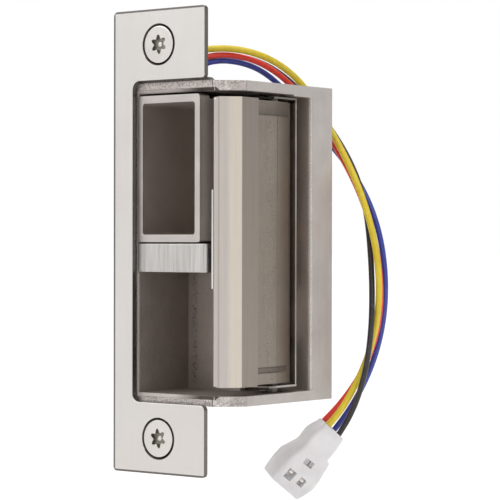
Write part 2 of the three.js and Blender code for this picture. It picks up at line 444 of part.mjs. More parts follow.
// ------------------------------------------------------------------ solenoid lock
{
  const x0 = SOL_X - SOL_HALF, x1 = SOL_X + SOL_HALF, y0 = SOL_Y - 6.3, y1 = SOL_Y + 8.0;
  let f = box(x0, x1, y0, y1, SOL_Z0, SOL_Z0 + SOL_T).add(box(x0, x1, y0, y1, SOL_Z1 - SOL_T, SOL_Z1))
    .add(box(x0, x1, y1 - SOL_T, y1, SOL_Z0 + 0.1, SOL_Z1 - 0.1));
  f = f.subtract(rod('z', SOL_X, SOL_Y, SOL_Z1 - 3, 3.75, 3.75, 6, 32));
  for (const z of [-20, -33]) f = f.subtract(rod('y', SOL_X, SOL_Y, z, 1.25, 1.25, 12, 20));
  add('solenoid_frame', f, 0xa7a7a2, 0.45, 0.8);

  const bz0 = SOL_Z0 + SOL_T + GAP, bz1 = SOL_Z1 - SOL_T - GAP, zm = (bz0 + bz1) / 2;
  const cylz = (r, a, b, seg = 40) => rod('z', SOL_X, SOL_Y, a, r, r, b - a, seg);
  let bob = cylz(BOB_R, bz0, bz1).add(cylz(FLANGE_R, bz0, bz0 + 0.9)).add(cylz(FLANGE_R, bz1 - 0.9, bz1)).add(cylz(FLANGE_R, zm - 0.4, zm + 0.4))
    .subtract(cylz(BOB_IR, bz0 - 1, bz1 + 1));
  add('solenoid_bobbin', bob, 0x2c2c2e, 0.6, 0.0);
  for (const [n, a, b] of [['coil_winding_lower', bz0 + 0.9 + GAP, zm - 0.4 - GAP], ['coil_winding_upper', zm + 0.4 + GAP, bz1 - 0.9 - GAP]]) {
    add(n, cylz(COIL_R, a, b).subtract(cylz(BOB_R + GAP, a - 1, b + 1)), 0xb5652a, 0.4, 0.5);
  }
  add('solenoid_core', cylz(PLUNGER_R, bz0, -28.9), 0x8f9092, 0.4, 0.9);

  // lever bracket standing on the solenoid frame
  const base = SOL_Z1 + GAP;
  let br = box(-8.6, 8.6, SOL_Y - 4.2, SOL_Y + 4.2, base, base + 1.2)
    .add(box(2.2, 8.6, SOL_Y - 4.2, SOL_Y - 3.0, base + 0.1, 3.2)).add(box(2.2, 8.6, SOL_Y + 3.0, SOL_Y + 4.2, base + 0.1, 3.2));
  br = br.subtract(rod('z', SOL_X, SOL_Y, base - 1, 3.75, 3.75, 4, 32)).subtract(rod('y', LEVER_X, SOL_Y - 6, LEVER_Z, 1.75, 1.75, 12, 24));
  add('lever_bracket', br, 0xaaa9a4, 0.45, 0.8);
  add('locking_lever_pin', rod('y', LEVER_X, SOL_Y - 4.8, LEVER_Z, 1.45, 1.45, 9.6, 24), 0x97979a, 0.35, 0.9);

  // plunger with a fork for the lever; shown at rest, pushed out by its spring
  const linkZ = LEVER_Z + LEVER_ARM * Math.sin(THREE.MathUtils.degToRad(-LEVER_REST));
  let pl = rod('z', SOL_X, SOL_Y, -24.3, PLUNGER_R, PLUNGER_R, 24.3 + linkZ + 3.0, 32)
    .add(rod('z', SOL_X, SOL_Y, -2.7, 4.6, 4.6, 0.8, 32));
  pl = pl.subtract(box(SOL_X - 6, SOL_X + 6, SOL_Y - LEVER_T / 2 - 0.35, SOL_Y + LEVER_T / 2 + 0.35, -1.9, 12));
  pl = pl.subtract(rod('y', SOL_X, SOL_Y - 6, linkZ, 1.15, 1.15, 12, 20));
  add('plunger', pl, 0xb4b5b7, 0.3, 0.95);
  add('plunger_link_pin', rod('y', SOL_X, SOL_Y - 3.2, linkZ, 0.9, 0.9, 6.4, 20), 0x97979a, 0.35, 0.9);
  add('plunger_spring', tube(new Helix(SOL_X, SOL_Y, base + 1.2 + 0.75, -2.7 - 0.65, 4.05, 4.5), 0.32, 110, 6), 0x9a9a9c, 0.3, 0.95);

  // locking lever, drawn level and then turned to its rest angle
  let lv = prismY(rounded([
    [-9.2, -2.4, 1.4], [-4.4, -2.4, 1.0], [-2.9, -1.3, 0.6], [-2.2, -2.6, 1.0], [2.6, -2.6, 1.0], [6.2, -2.1, 0.3], [10, -2.1, 0.3],
    [10, 2.1, 0.3], [6.2, 2.1, 0.3], [2.6, 2.9, 1.0], [-2.2, 2.9, 1.0], [-2.6, 1.5, 0.6], [-4.4, 2.4, 1.0], [-9.2, 2.4, 1.4],
  ], 4), SOL_Y - LEVER_T / 2, SOL_Y + LEVER_T / 2);
  lv = lv.add(box(6.4, 10, 29.6, 33.9, -2.05, 2.05));
  lv = lv.subtract(rod('y', 0, 20, 0, 1.75, 1.75, 20, 24));
  lv = lv.subtract(prismY(rounded([[-8.3, -1.25, 1.2], [-5.6, -1.25, 1.2], [-5.6, 1.25, 1.2], [-8.3, 1.25, 1.2]], 4), 20, 40));
  const g = toGeometry(lv);
  g.rotateY(THREE.MathUtils.degToRad(-LEVER_REST));
  g.translate(LEVER_X, 0, LEVER_Z);
  add('locking_lever', g, 0x8e8f92, 0.4, 0.9);

  for (const [n, z] of [['solenoid_screw_upper', -20], ['solenoid_screw_lower', -33]]) {
    add(n, rod('y', SOL_X, y1 - SOL_T - 0.0 + 0.1, z, 0.95, 0.95, 2.6, 20)
      .add(rod('y', SOL_X, y1 + GAP, z, 2.0, 2.0, 1.4, 24))
      .subtract(box(SOL_X - 3, SOL_X + 3, y1 + 1.1, y1 + 3, z - 0.3, z + 0.3)), 0x9c9a98, 0.35, 0.9);
  }
}

// ------------------------------------------------------------------ grommet, wires, connector
{
  let g = prismZ(rounded([[-8.3, 13.1, 0.8], [-0.3, 13.1, 0.8], [-0.3, 19.1, 0.8], [-8.3, 19.1, 0.8]], 4), 39.3, 41.6);
  add('wire_grommet', g, 0x1f1f20, 0.8, 0.0);
  const colors = { yellow: 0xe0c840, red: 0xc43a36, blue: 0x3f458f, black: 0x26262a };
  for (const [name, pts] of Object.entries(ROUTES)) {
    const curve = new THREE.CatmullRomCurve3(pts.map((p) => new THREE.Vector3(...p)), false, 'centripetal');
    add(`wire_${name}`, tube(curve, name === 'yellow' ? YELLOW_R : WIRE_R, 58, 8), colors[name], 0.4, 0.0);
  }
}
{
  const frame = new THREE.Group();
  frame.matrix.makeBasis(new THREE.Vector3(...CONN.a), new THREE.Vector3(...CONN.b), new THREE.Vector3(...CONN.axis));
  frame.matrix.decompose(frame.position, frame.quaternion, frame.scale);
  frame.position.set(...CONN.at);
  frame.scale.set(1, 1, 1);
  object.add(frame);
  const PITCH = 2.1, REAR = 4.2, FRONT = 5.6, LEN = 21.2;
  const square = (h0, h1, s0, s1) => {
    const g = new THREE.CylinderGeometry(h1 * Math.SQRT2, h0 * Math.SQRT2, s1 - s0, 4);
    g.rotateY(Math.PI / 4); g.rotateX(Math.PI / 2); g.translate(0, 0, (s0 + s1) / 2);
    return solid(g);
  };
  let c = square(3.5, REAR, 0, 2.2).add(square(REAR, REAR, 2.1, 7.6)).add(square(REAR, FRONT, 7.4, 10.4))
    .add(box(0, FRONT, -FRONT + 0.6, FRONT - 0.6, 7.5, 11)).add(square(FRONT, FRONT, 10.3, LEN - 0.6)).add(square(FRONT, FRONT - 0.5, LEN - 0.65, LEN));
  for (const a of [-PITCH, PITCH]) for (const b of [-PITCH, PITCH]) {
    c = c.subtract(rod('z', a, b, -1, 1.15, 1.15, 7, 16));
    c = c.subtract(box(a - 1.45, a + 1.45, b - 1.45, b + 1.45, 5, 30));
  }
  c = c.subtract(box(-3.45, -0.8, 2.5, 8, 15.6, 18.6)).subtract(box(0.9, 3.0, 2.5, 8, 15.4, 18.0)).subtract(box(-1.5, 1.6, 3.1, 8, 10.5, 12.4));
  add('connector_housing', c, 0xe2dfda, 0.45, 0.0, frame);
  for (const [n, a, b] of [['yellow', -PITCH, PITCH], ['red', -PITCH, -PITCH], ['blue', PITCH, -PITCH], ['black', PITCH, PITCH]]) {
    const t = box(a - 1.1, a + 1.1, b - 1.1, b + 1.1, 6.5, 17.5).subtract(box(a - 0.75, a + 0.75, b - 0.75, b + 0.75, 8, 18))
      .subtract(box(a - 0.5, a + 0.5, b + 0.5, b + 2, 9, 13));
    add(`contact_${n}`, t, 0xc9c3b4, 0.3, 0.95, frame);
  }
}

export default object;
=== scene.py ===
# Blender looks for the electric door strike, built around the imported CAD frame.
# Everything is in metres in the row frame: +X keeper side, +Y into the door
# frame, +Z up, Y = 0 at the faceplate's rear face.
import json
import math

import bmesh
import bpy
import numpy as np
from mathutils import Matrix, Vector


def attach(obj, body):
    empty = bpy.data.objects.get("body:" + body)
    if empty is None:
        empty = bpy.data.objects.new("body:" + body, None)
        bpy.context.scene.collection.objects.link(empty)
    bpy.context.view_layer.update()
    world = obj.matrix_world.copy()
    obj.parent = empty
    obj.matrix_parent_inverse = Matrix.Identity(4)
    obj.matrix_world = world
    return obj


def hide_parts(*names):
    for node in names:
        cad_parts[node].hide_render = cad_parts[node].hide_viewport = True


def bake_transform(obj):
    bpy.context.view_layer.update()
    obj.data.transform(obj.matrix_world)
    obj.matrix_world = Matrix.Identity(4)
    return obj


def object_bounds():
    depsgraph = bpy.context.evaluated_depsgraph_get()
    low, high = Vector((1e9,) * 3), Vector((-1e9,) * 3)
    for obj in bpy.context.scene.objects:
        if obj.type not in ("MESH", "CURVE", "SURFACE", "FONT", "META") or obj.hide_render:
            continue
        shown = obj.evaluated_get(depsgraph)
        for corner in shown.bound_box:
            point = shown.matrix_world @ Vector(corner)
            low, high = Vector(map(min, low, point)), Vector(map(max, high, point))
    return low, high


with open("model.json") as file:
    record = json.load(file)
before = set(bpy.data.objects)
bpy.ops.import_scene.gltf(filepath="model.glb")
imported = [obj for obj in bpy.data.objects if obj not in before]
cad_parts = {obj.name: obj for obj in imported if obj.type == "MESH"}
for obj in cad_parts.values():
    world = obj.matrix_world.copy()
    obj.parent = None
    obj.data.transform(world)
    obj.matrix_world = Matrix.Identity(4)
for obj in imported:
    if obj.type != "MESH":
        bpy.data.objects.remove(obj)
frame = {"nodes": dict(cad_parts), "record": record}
CAD_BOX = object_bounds()
scene = bpy.context.scene
NODES = frame["nodes"]
MM = 0.001


# ------------------------------------------------------------------ camera
def make_camera():
    az, el, roll = math.radians(38.0), math.radians(0.194), math.radians(0.083)
    fw = Vector((-math.sin(az) * math.cos(el), math.cos(az) * math.cos(el), -math.sin(el)))
    right = Vector((math.cos(az), math.sin(az), 0.0))
    up = right.cross(fw)
    r = right * math.cos(roll) + up * math.sin(roll)
    u = -right * math.sin(roll) + up * math.cos(roll)
    cam = bpy.data.cameras.new("camera")
    cam.sensor_width = 36.0
    cam.sensor_fit = "HORIZONTAL"
    cam.lens = 2144.27 * 36.0 / 500.0
    cam.clip_start = 0.02
    cam.clip_end = 60.0
    ob = bpy.data.objects.new("camera", cam)
    m = Matrix((r, u, -fw)).transposed().to_4x4()
    m.translation = Vector((370.108, -435.632, -0.296)) * MM
    ob.matrix_world = m
    scene.collection.objects.link(ob)
    scene.camera = ob
    return ob


make_camera()

# centre lines of the loose wires from the grommet to the connector, the same points as the CAD tubes, in mm
ROUTES_MM = {
    "yellow": [
        (-7, 14.2, 41.9), (-6.76, 14.08, 46.48), (-4.91, 15.68, 50.3), (-2, 18.64, 52.26),
        (1.04, 22.04, 52.92), (3.93, 25.64, 52.87), (6.5, 29.42, 52.23), (8.6, 33.35, 51.02),
        (10.14, 37.35, 49.32), (11.2, 41.32, 47.2), (12.21, 44.94, 44.53), (13.68, 47.62, 41.1),
        (15.83, 48.78, 37.2), (18.24, 49.24, 33.29), (20.75, 49.44, 29.41), (23.27, 49.43, 25.54),
        (25.72, 49.31, 21.62), (28.02, 49.14, 17.62), (30.11, 49, 13.5), (31.93, 48.92, 9.26),
        (33.47, 48.89, 4.9), (34.69, 48.94, 0.45), (35.53, 49.07, -4.09), (35.97, 49.29, -8.68),
        (35.94, 49.6, -13.29), (35.42, 50.03, -17.86), (34.38, 50.56, -22.33), (32.92, 51.08, -26.68),
        (31.16, 51.45, -30.93), (29.22, 51.53, -35.12), (27.2, 51.18, -39.26), (25.21, 50.27, -43.33),
        (23.11, 48.93, -47.22), (20.63, 47.43, -50.81),
    ],
    "red": [
        (-4.8, 14.6, 41.9), (-4.49, 15.66, 46.23), (-2.68, 18.11, 49.48), (-0.13, 21.48, 50.95),
        (2.27, 25.27, 51.25), (4.11, 29.37, 50.86), (5.45, 33.56, 49.94), (6.51, 37.7, 48.51),
        (7.47, 41.66, 46.57), (8.53, 45.26, 44.1), (9.91, 48.29, 41.07), (11.82, 50.39, 37.59),
        (14.21, 51.44, 33.93), (16.84, 51.77, 30.28), (19.54, 51.71, 26.68), (22.26, 51.45, 23.09),
        (24.87, 51.12, 19.43), (27.26, 50.88, 15.62), (29.35, 50.78, 11.63), (31.12, 50.84, 7.48),
        (32.55, 51.01, 3.21), (33.62, 51.27, -1.16), (34.32, 51.61, -5.6), (34.63, 52, -10.08),
        (34.52, 52.42, -14.56), (33.98, 52.84, -19.01), (32.98, 53.24, -23.39), (31.51, 53.58, -27.64),
        (29.64, 53.81, -31.73), (27.46, 53.83, -35.67), (25.05, 53.54, -39.46), (22.49, 52.84, -43.11),
        (19.89, 51.65, -46.59), (17.35, 49.88, -49.86),
    ],
    "blue": [
        (-2.6, 15.4, 41.9), (-2.71, 17.07, 46.04), (-1.43, 20.32, 48.79), (0.42, 24.3, 49.74),
        (2.02, 28.51, 49.68), (3.08, 32.85, 49.05), (3.59, 37.2, 47.99), (3.93, 41.41, 46.42),
        (4.62, 45.25, 44.18), (5.77, 48.57, 41.36), (7.36, 51.3, 38.15), (9.38, 53.42, 34.72),
        (11.81, 54.93, 31.24), (14.62, 55.84, 27.83), (17.62, 56.26, 24.5), (20.67, 56.32, 21.17),
        (23.6, 56.15, 17.74), (26.3, 55.86, 14.14), (28.68, 55.52, 10.33), (30.7, 55.18, 6.31),
        (32.32, 54.91, 2.11), (33.48, 54.75, -2.25), (34.15, 54.77, -6.71), (34.33, 54.97, -11.21),
        (34.08, 55.27, -15.7), (33.45, 55.58, -20.16), (32.48, 55.83, -24.55), (31.2, 55.96, -28.88),
        (29.65, 55.96, -33.11), (27.85, 55.77, -37.24), (25.83, 55.4, -41.26), (23.62, 54.79, -45.15),
        (21.26, 53.94, -48.9), (18.79, 52.82, -52.5),
    ],
    "black": [
        (-4.8, 17.8, 41.9), (-4.91, 18.47, 46.37), (-3.77, 21.12, 49.79), (-1.82, 24.96, 51.2),
        (0.21, 29.03, 51.45), (1.89, 33.24, 51.08), (3.07, 37.57, 50.25), (4.1, 41.8, 48.92),
        (5.34, 45.71, 46.95), (7.16, 48.87, 44.24), (9.47, 51.11, 41.02), (12.04, 52.57, 37.56),
        (14.74, 53.46, 33.99), (17.48, 53.91, 30.38), (20.17, 54.02, 26.71), (22.74, 53.9, 22.94),
        (25.07, 53.62, 19.03), (27.07, 53.27, 14.95), (28.63, 52.95, 10.68), (29.81, 52.62, 6.29),
        (30.78, 52.16, 1.86), (31.69, 51.49, -2.56), (32.67, 50.54, -6.91), (33.63, 49.46, -11.23),
        (34.39, 48.45, -15.61), (34.76, 47.77, -20.1), (34.53, 47.64, -24.64), (33.74, 48, -29.11),
        (32.49, 48.64, -33.45), (30.9, 49.4, -37.65), (29.01, 50.12, -41.74), (26.88, 50.64, -45.73),
        (24.54, 50.8, -49.64), (22.07, 50.37, -53.44),
    ],
}
CONN_AT, CONN_A, CONN_B, CONN_AX = Vector((19.5517, 50.0000, -51.8757)) * MM, Vector((0.3426, 0.6990, -0.6276)), Vector((0.7799, -0.5841, -0.2248)), Vector((-0.5238, -0.4124, -0.7453))


# ------------------------------------------------------------------ cords
def catmull(points, n):
    """n + 1 points on the centripetal Catmull-Rom curve through points"""
    P = [np.array(p, float) for p in points]
    last, out = len(P) - 1, []
    for i in range(n + 1):
        t = last * i / n
        k = min(int(math.floor(t)), last - 1)
        w = t - k
        p0 = P[k - 1] if k > 0 else 2 * P[0] - P[1]
        p1, p2 = P[k], P[k + 1]
        p3 = P[k + 2] if k + 2 <= last else 2 * P[last] - P[last - 1]
        d0, d1, d2 = (max(float(np.sum((b - a) ** 2)) ** 0.25, 1e-6) for a, b in ((p0, p1), (p1, p2), (p2, p3)))
        t1 = ((p1 - p0) / d0 - (p2 - p0) / (d0 + d1) + (p2 - p1) / d1) * d1
        t2 = ((p2 - p1) / d1 - (p3 - p1) / (d1 + d2) + (p3 - p2) / d2) * d1
        out.append(p1 + t1 * w + (-3 * p1 + 3 * p2 - 2 * t1 - t2) * w ** 2 + (2 * p1 - 2 * p2 + t1 + t2) * w ** 3)
    return out


def make_wire(name, radius_mm):
    pts = catmull(ROUTES_MM[name], 220)
    start = pts[0] - np.array((0, 0, 0.5))                      # just into the grommet
    d = np.array(CONN_AX)
    pts = [start] + pts + [pts[-1] + d * 1.5, pts[-1] + d * 4.5]   # and into its contact in the connector
    pts = [p * MM for p in pts]
    length = sum(float(np.linalg.norm(b - a)) for a, b in zip(pts, pts[1:]))
    curve = bpy.data.curves.new(f"wire_{name}_lead", "CURVE")
    curve.dimensions = "3D"
    curve.resolution_u = 1
    curve.bevel_depth = 1.0                                      # the points carry the radius, so the bounds stay true
    curve.bevel_resolution = 5
    curve.use_fill_caps = True
    sp = curve.splines.new("POLY")
    sp.points.add(len(pts) - 1)
    for q, p in zip(sp.points, pts):
        q.co = (*p, 1.0)
        q.radius = radius_mm * MM
    sp.use_smooth = True
    ob = bpy.data.objects.new(f"wire_{name}_lead", curve)
    scene.collection.objects.link(ob)
    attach(ob, "frame")
    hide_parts(f"wire_{name}")
    return ob, [float(x) for x in pts[0]], length, 2 * radius_mm * MM


WIRES = {n: make_wire(n, 0.92 if n == "yellow" else 0.8) for n in ROUTES_MM}


# ------------------------------------------------------------------ materials
class Mat:
    """builds one node material; sizes are in millimetres of the row frame"""

    def __init__(self, name):
        self.m = bpy.data.materials.new(name)
        self.m.use_nodes = True
        self.nt = self.m.node_tree
        self.nt.nodes.clear()
        out = self.node("ShaderNodeOutputMaterial")
        self.bsdf = self.node("ShaderNodeBsdfPrincipled")
        self.nt.links.new(self.bsdf.outputs[0], out.inputs["Surface"])
        tc = self.node("ShaderNodeTexCoord")
        self.pos, self.nor = tc.outputs["Object"], tc.outputs["Normal"]

    def node(self, kind, **settings):
        n = self.nt.nodes.new(kind)
        for k, v in settings.items():
            setattr(n, k, v)
        return n

    def put(self, socket, value):
        if isinstance(value, bpy.types.NodeSocket):
            self.nt.links.new(value, socket)
        elif value is not None:
            socket.default_value = value

    def set(self, **inputs):
        for k, v in inputs.items():
            self.put(self.bsdf.inputs[k.replace("_", " ")], v)
        return self

    def coords(self, size, seed=0.0, source=None):
        mp = self.node("ShaderNodeMapping")
        self.put(mp.inputs["Vector"], source or self.pos)
        mp.inputs["Scale"].default_value = tuple(1000.0 / s for s in size)
        mp.inputs["Location"].default_value = (seed * 3.7, seed * 5.1, seed * 1.9)
        return mp.outputs[0]

    def noise(self, size, detail=3.0, rough=0.55, seed=0.0, distortion=0.0, source=None):
        n = self.node("ShaderNodeTexNoise")
        n.inputs["Scale"].default_value = 1.0
        n.inputs["Detail"].default_value = detail
        n.inputs["Roughness"].default_value = rough
        n.inputs["Distortion"].default_value = distortion
        self.put(n.inputs["Vector"], self.coords(size if hasattr(size, "__len__") else (size,) * 3, seed, source))
        return n.outputs[0]

    def cells(self, size, seed=0.0, feature="F1"):
        n = self.node("ShaderNodeTexVoronoi")
        n.feature = feature
        n.inputs["Scale"].default_value = 1.0
        self.put(n.inputs["Vector"], self.coords((size,) * 3, seed))
        return n.outputs["Distance"]

    def remap(self, value, a, b, lo=0.0, hi=1.0, smooth=False):
        n = self.node("ShaderNodeMapRange")
        if smooth:
            n.interpolation_type = "SMOOTHSTEP"
        for i, v in enumerate((value, a, b, lo, hi)):
            self.put(n.inputs[i], v)
        return n.outputs[0]

    def op(self, kind, a, b=None, clamp=False):
        n = self.node("ShaderNodeMath", operation=kind, use_clamp=clamp)
        self.put(n.inputs[0], a)
        self.put(n.inputs[1], b)
        return n.outputs[0]

    def axis(self, which, source=None):
        n = self.node("ShaderNodeSeparateXYZ")
        self.put(n.inputs[0], source or self.pos)
        return n.outputs["XYZ".index(which)]

    def mix(self, fac, a, b):
        n = self.node("ShaderNodeMix", data_type="RGBA")
        self.put(n.inputs[0], fac)
        self.put(n.inputs[6], rgba(a))
        self.put(n.inputs[7], rgba(b))
        return n.outputs[2]

    def mul(self, color, value):
        """colour times a grey value"""
        c = self.node("ShaderNodeCombineColor")
        for i in range(3):
            self.put(c.inputs[i], value)
        n = self.node("ShaderNodeMix", data_type="RGBA", blend_type="MULTIPLY")
        n.inputs[0].default_value = 1.0
        self.put(n.inputs[6], rgba(color))
        self.put(n.inputs[7], c.outputs[0])
        return n.outputs[2]

    def bump(self, height, distance_mm, strength=1.0, normal=None):
        n = self.node("ShaderNodeBump")
        n.inputs["Strength"].default_value = strength
        n.inputs["Distance"].default_value = distance_mm * MM
        self.put(n.inputs["Height"], height)
        self.put(n.inputs["Normal"], normal)
        return n.outputs[0]


def rgba(c):
    return (*c, 1.0) if isinstance(c, (tuple, list)) and len(c) == 3 else c


def srgb(r, g, b):
    return tuple((x / 255 / 12.92) if x <= 10 else ((x / 255 + 0.055) / 1.055) ** 2.4 for x in (r, g, b))


def brushed(name, color, rough, along="Z", grain=0.16, length=9.0, streak=0.06, mottle=0.05, bump=0.004, fine=0.02):
    """ground or brushed metal, with its grain running along one axis"""
    m = Mat(name)
    size = [grain] * 3
    size["XYZ".index(along)] = length
    s1 = m.noise(size, 4.0, 0.6, 1.0)
    wide = [v * (3.5 if v == grain else 2.5) for v in size]
    s2 = m.noise(wide, 2.0, 0.5, 2.0)
    cloud = m.noise(14.0, 3.0, 0.5, 3.0)
    speck = m.noise(0.22, 2.0, 0.6, 4.0)
    v = m.op("ADD", m.remap(s1, 0.3, 0.7, 1 - streak, 1 + streak), m.remap(s2, 0.3, 0.7, -streak * 0.7, streak * 0.7))
    v = m.op("MULTIPLY", v, m.remap(cloud, 0.3, 0.7, 1 - mottle, 1 + mottle))
    v = m.op("MULTIPLY", v, m.remap(speck, 0.3, 0.7, 1 - fine, 1 + fine))
    r = m.op("ADD", m.remap(s2, 0.25, 0.75, rough - 0.05, rough + 0.05), m.remap(cloud, 0.3, 0.7, -0.03, 0.03))
    m.set(Base_Color=m.mul(color, v), Metallic=1.0, Roughness=r, Normal=m.bump(s1, bump))
    return m.m


def cast(name, color, rough, grit=0.45, depth=0.05, mottle=0.10, pits=0.25):
    """as-cast metal: fine sand grain, a few pits and soft blotches"""
    m = Mat(name)
    g1 = m.noise(grit, 4.0, 0.65, 1.0)
    g2 = m.noise(grit * 3.2, 3.0, 0.5, 2.0)
    cloud = m.noise(9.0, 3.0, 0.55, 3.0)
    pit = m.remap(m.cells(1.3, 4.0), 0.05, 0.28, 0.0, 1.0, True)
    keep = m.remap(m.noise(3.5, 2.0, 0.5, 5.0), 0.52, 0.6, 0.0, 1.0)
    pit = m.op("SUBTRACT", 1.0, m.op("MULTIPLY", m.op("SUBTRACT", 1.0, pit), keep))
    h = m.op("ADD", m.op("MULTIPLY", g1, 0.6), m.op("MULTIPLY", g2, 0.5))
    h = m.op("ADD", h, m.op("MULTIPLY", pit, pits))
    v = m.op("MULTIPLY", m.remap(cloud, 0.3, 0.7, 1 - mottle, 1 + mottle), m.remap(g1, 0.3, 0.7, 0.92, 1.07))
    v = m.op("MULTIPLY", v, m.remap(pit, 0.0, 1.0, 0.75, 1.0))
    r = m.op("ADD", m.remap(g2, 0.3, 0.7, rough - 0.06, rough + 0.06), m.remap(cloud, 0.3, 0.7, -0.04, 0.04))
    m.set(Base_Color=m.mul(color, v), Metallic=1.0, Roughness=r, Normal=m.bump(h, depth))
    return m.m


def pvc(name, color, dark):
    """extruded wire insulation: faint drawing lines, soft gloss, light scuffs"""
    m = Mat(name)
    n1 = m.noise((1.6, 1.6, 7.0), 3.0, 0.5, 1.0)
    n2 = m.noise(0.35, 2.0, 0.6, 2.0)
    scuff = m.remap(m.noise(2.4, 4.0, 0.65, 3.0), 0.56, 0.7, 0.0, 1.0)
    c = m.mix(m.remap(n1, 0.3, 0.7, 0.0, 0.55), color, dark)
    c = m.mix(m.op("MULTIPLY", scuff, 0.04), c, (0.75, 0.74, 0.72))
    r = m.op("ADD", m.remap(n2, 0.3, 0.7, 0.30, 0.38), m.op("MULTIPLY", scuff, 0.18))
    m.set(Base_Color=c, Roughness=r, Normal=m.bump(m.op("ADD", n1, m.op("MULTIPLY", n2, 0.4)), 0.02), Subsurface_Weight=0.06)
    m.bsdf.inputs["Subsurface Scale"].default_value = 0.0006
    m.bsdf.inputs["Subsurface Radius"].default_value = (1.0, 0.8, 0.6)
    return m.m


def nylon(name):
    """natural nylon: milky, softly lit from within by subsurface and a faint painted glow (emission), faint flow marks
    """
    m = Mat(name)
    cloud = m.noise(4.5, 3.0, 0.5, 1.0)
    fine = m.noise(0.5, 3.0, 0.6, 2.0)
    flow = m.noise((2.0, 2.0, 9.0), 3.0, 0.5, 3.0)
    c = m.mix(m.remap(cloud, 0.3, 0.7), srgb(227, 226, 228), srgb(215, 214, 217))
    c = m.mix(m.remap(flow, 0.5, 0.75, 0.0, 0.4), c, srgb(234, 231, 228))
    m.set(Base_Color=c, Roughness=m.remap(fine, 0.3, 0.7, 0.40, 0.52), Subsurface_Weight=0.35,
          Normal=m.bump(m.op("ADD", fine, m.op("MULTIPLY", cloud, 1.5)), 0.012), Emission_Color=rgba((1.0, 0.985, 0.985)), Emission_Strength=0.065)
    m.bsdf.inputs["Subsurface Radius"].default_value = (1.0, 0.97, 0.95)
    m.bsdf.inputs["Subsurface Scale"].default_value = 0.0012
    m.bsdf.inputs["Specular IOR Level"].default_value = 0.3
    return m.m


def plastic(name, color, rough, grit=0.3):
    m = Mat(name)
    g, cloud = m.noise(grit, 3.0, 0.6, 1.0), m.noise(5.0, 3.0, 0.5, 2.0)
    m.set(Base_Color=m.mul(color, m.remap(cloud, 0.3, 0.7, 0.85, 1.15)), Roughness=m.remap(g, 0.3, 0.7, rough - 0.06, rough + 0.06),
          Normal=m.bump(g, 0.015))
    return m.m


def ramp_between(m, value, low, high, soft=0.25):
    """1 where value (metres) lies between low and high (mm), with soft ends; None leaves an end open"""
    out = None
    for edge, rising in ((low, True), (high, False)):
        if edge is None:
            continue
        lo, hi = (edge - soft) * MM, (edge + soft) * MM
        s = m.remap(value, lo, hi, 0.0 if rising else 1.0, 1.0 if rising else 0.0)
        out = s if out is None else m.op("MULTIPLY", out, s)
    return out


def inside(m, x=(None, None), y=(None, None), z=(None, None), soft=0.25):
    out = None
    for axis, (lo, hi) in zip("XYZ", (x, y, z)):
        if lo is None and hi is None:
            continue
        s = ramp_between(m, m.axis(axis), lo, hi, soft)
        out = s if out is None else m.op("MULTIPLY", out, s)
    return out


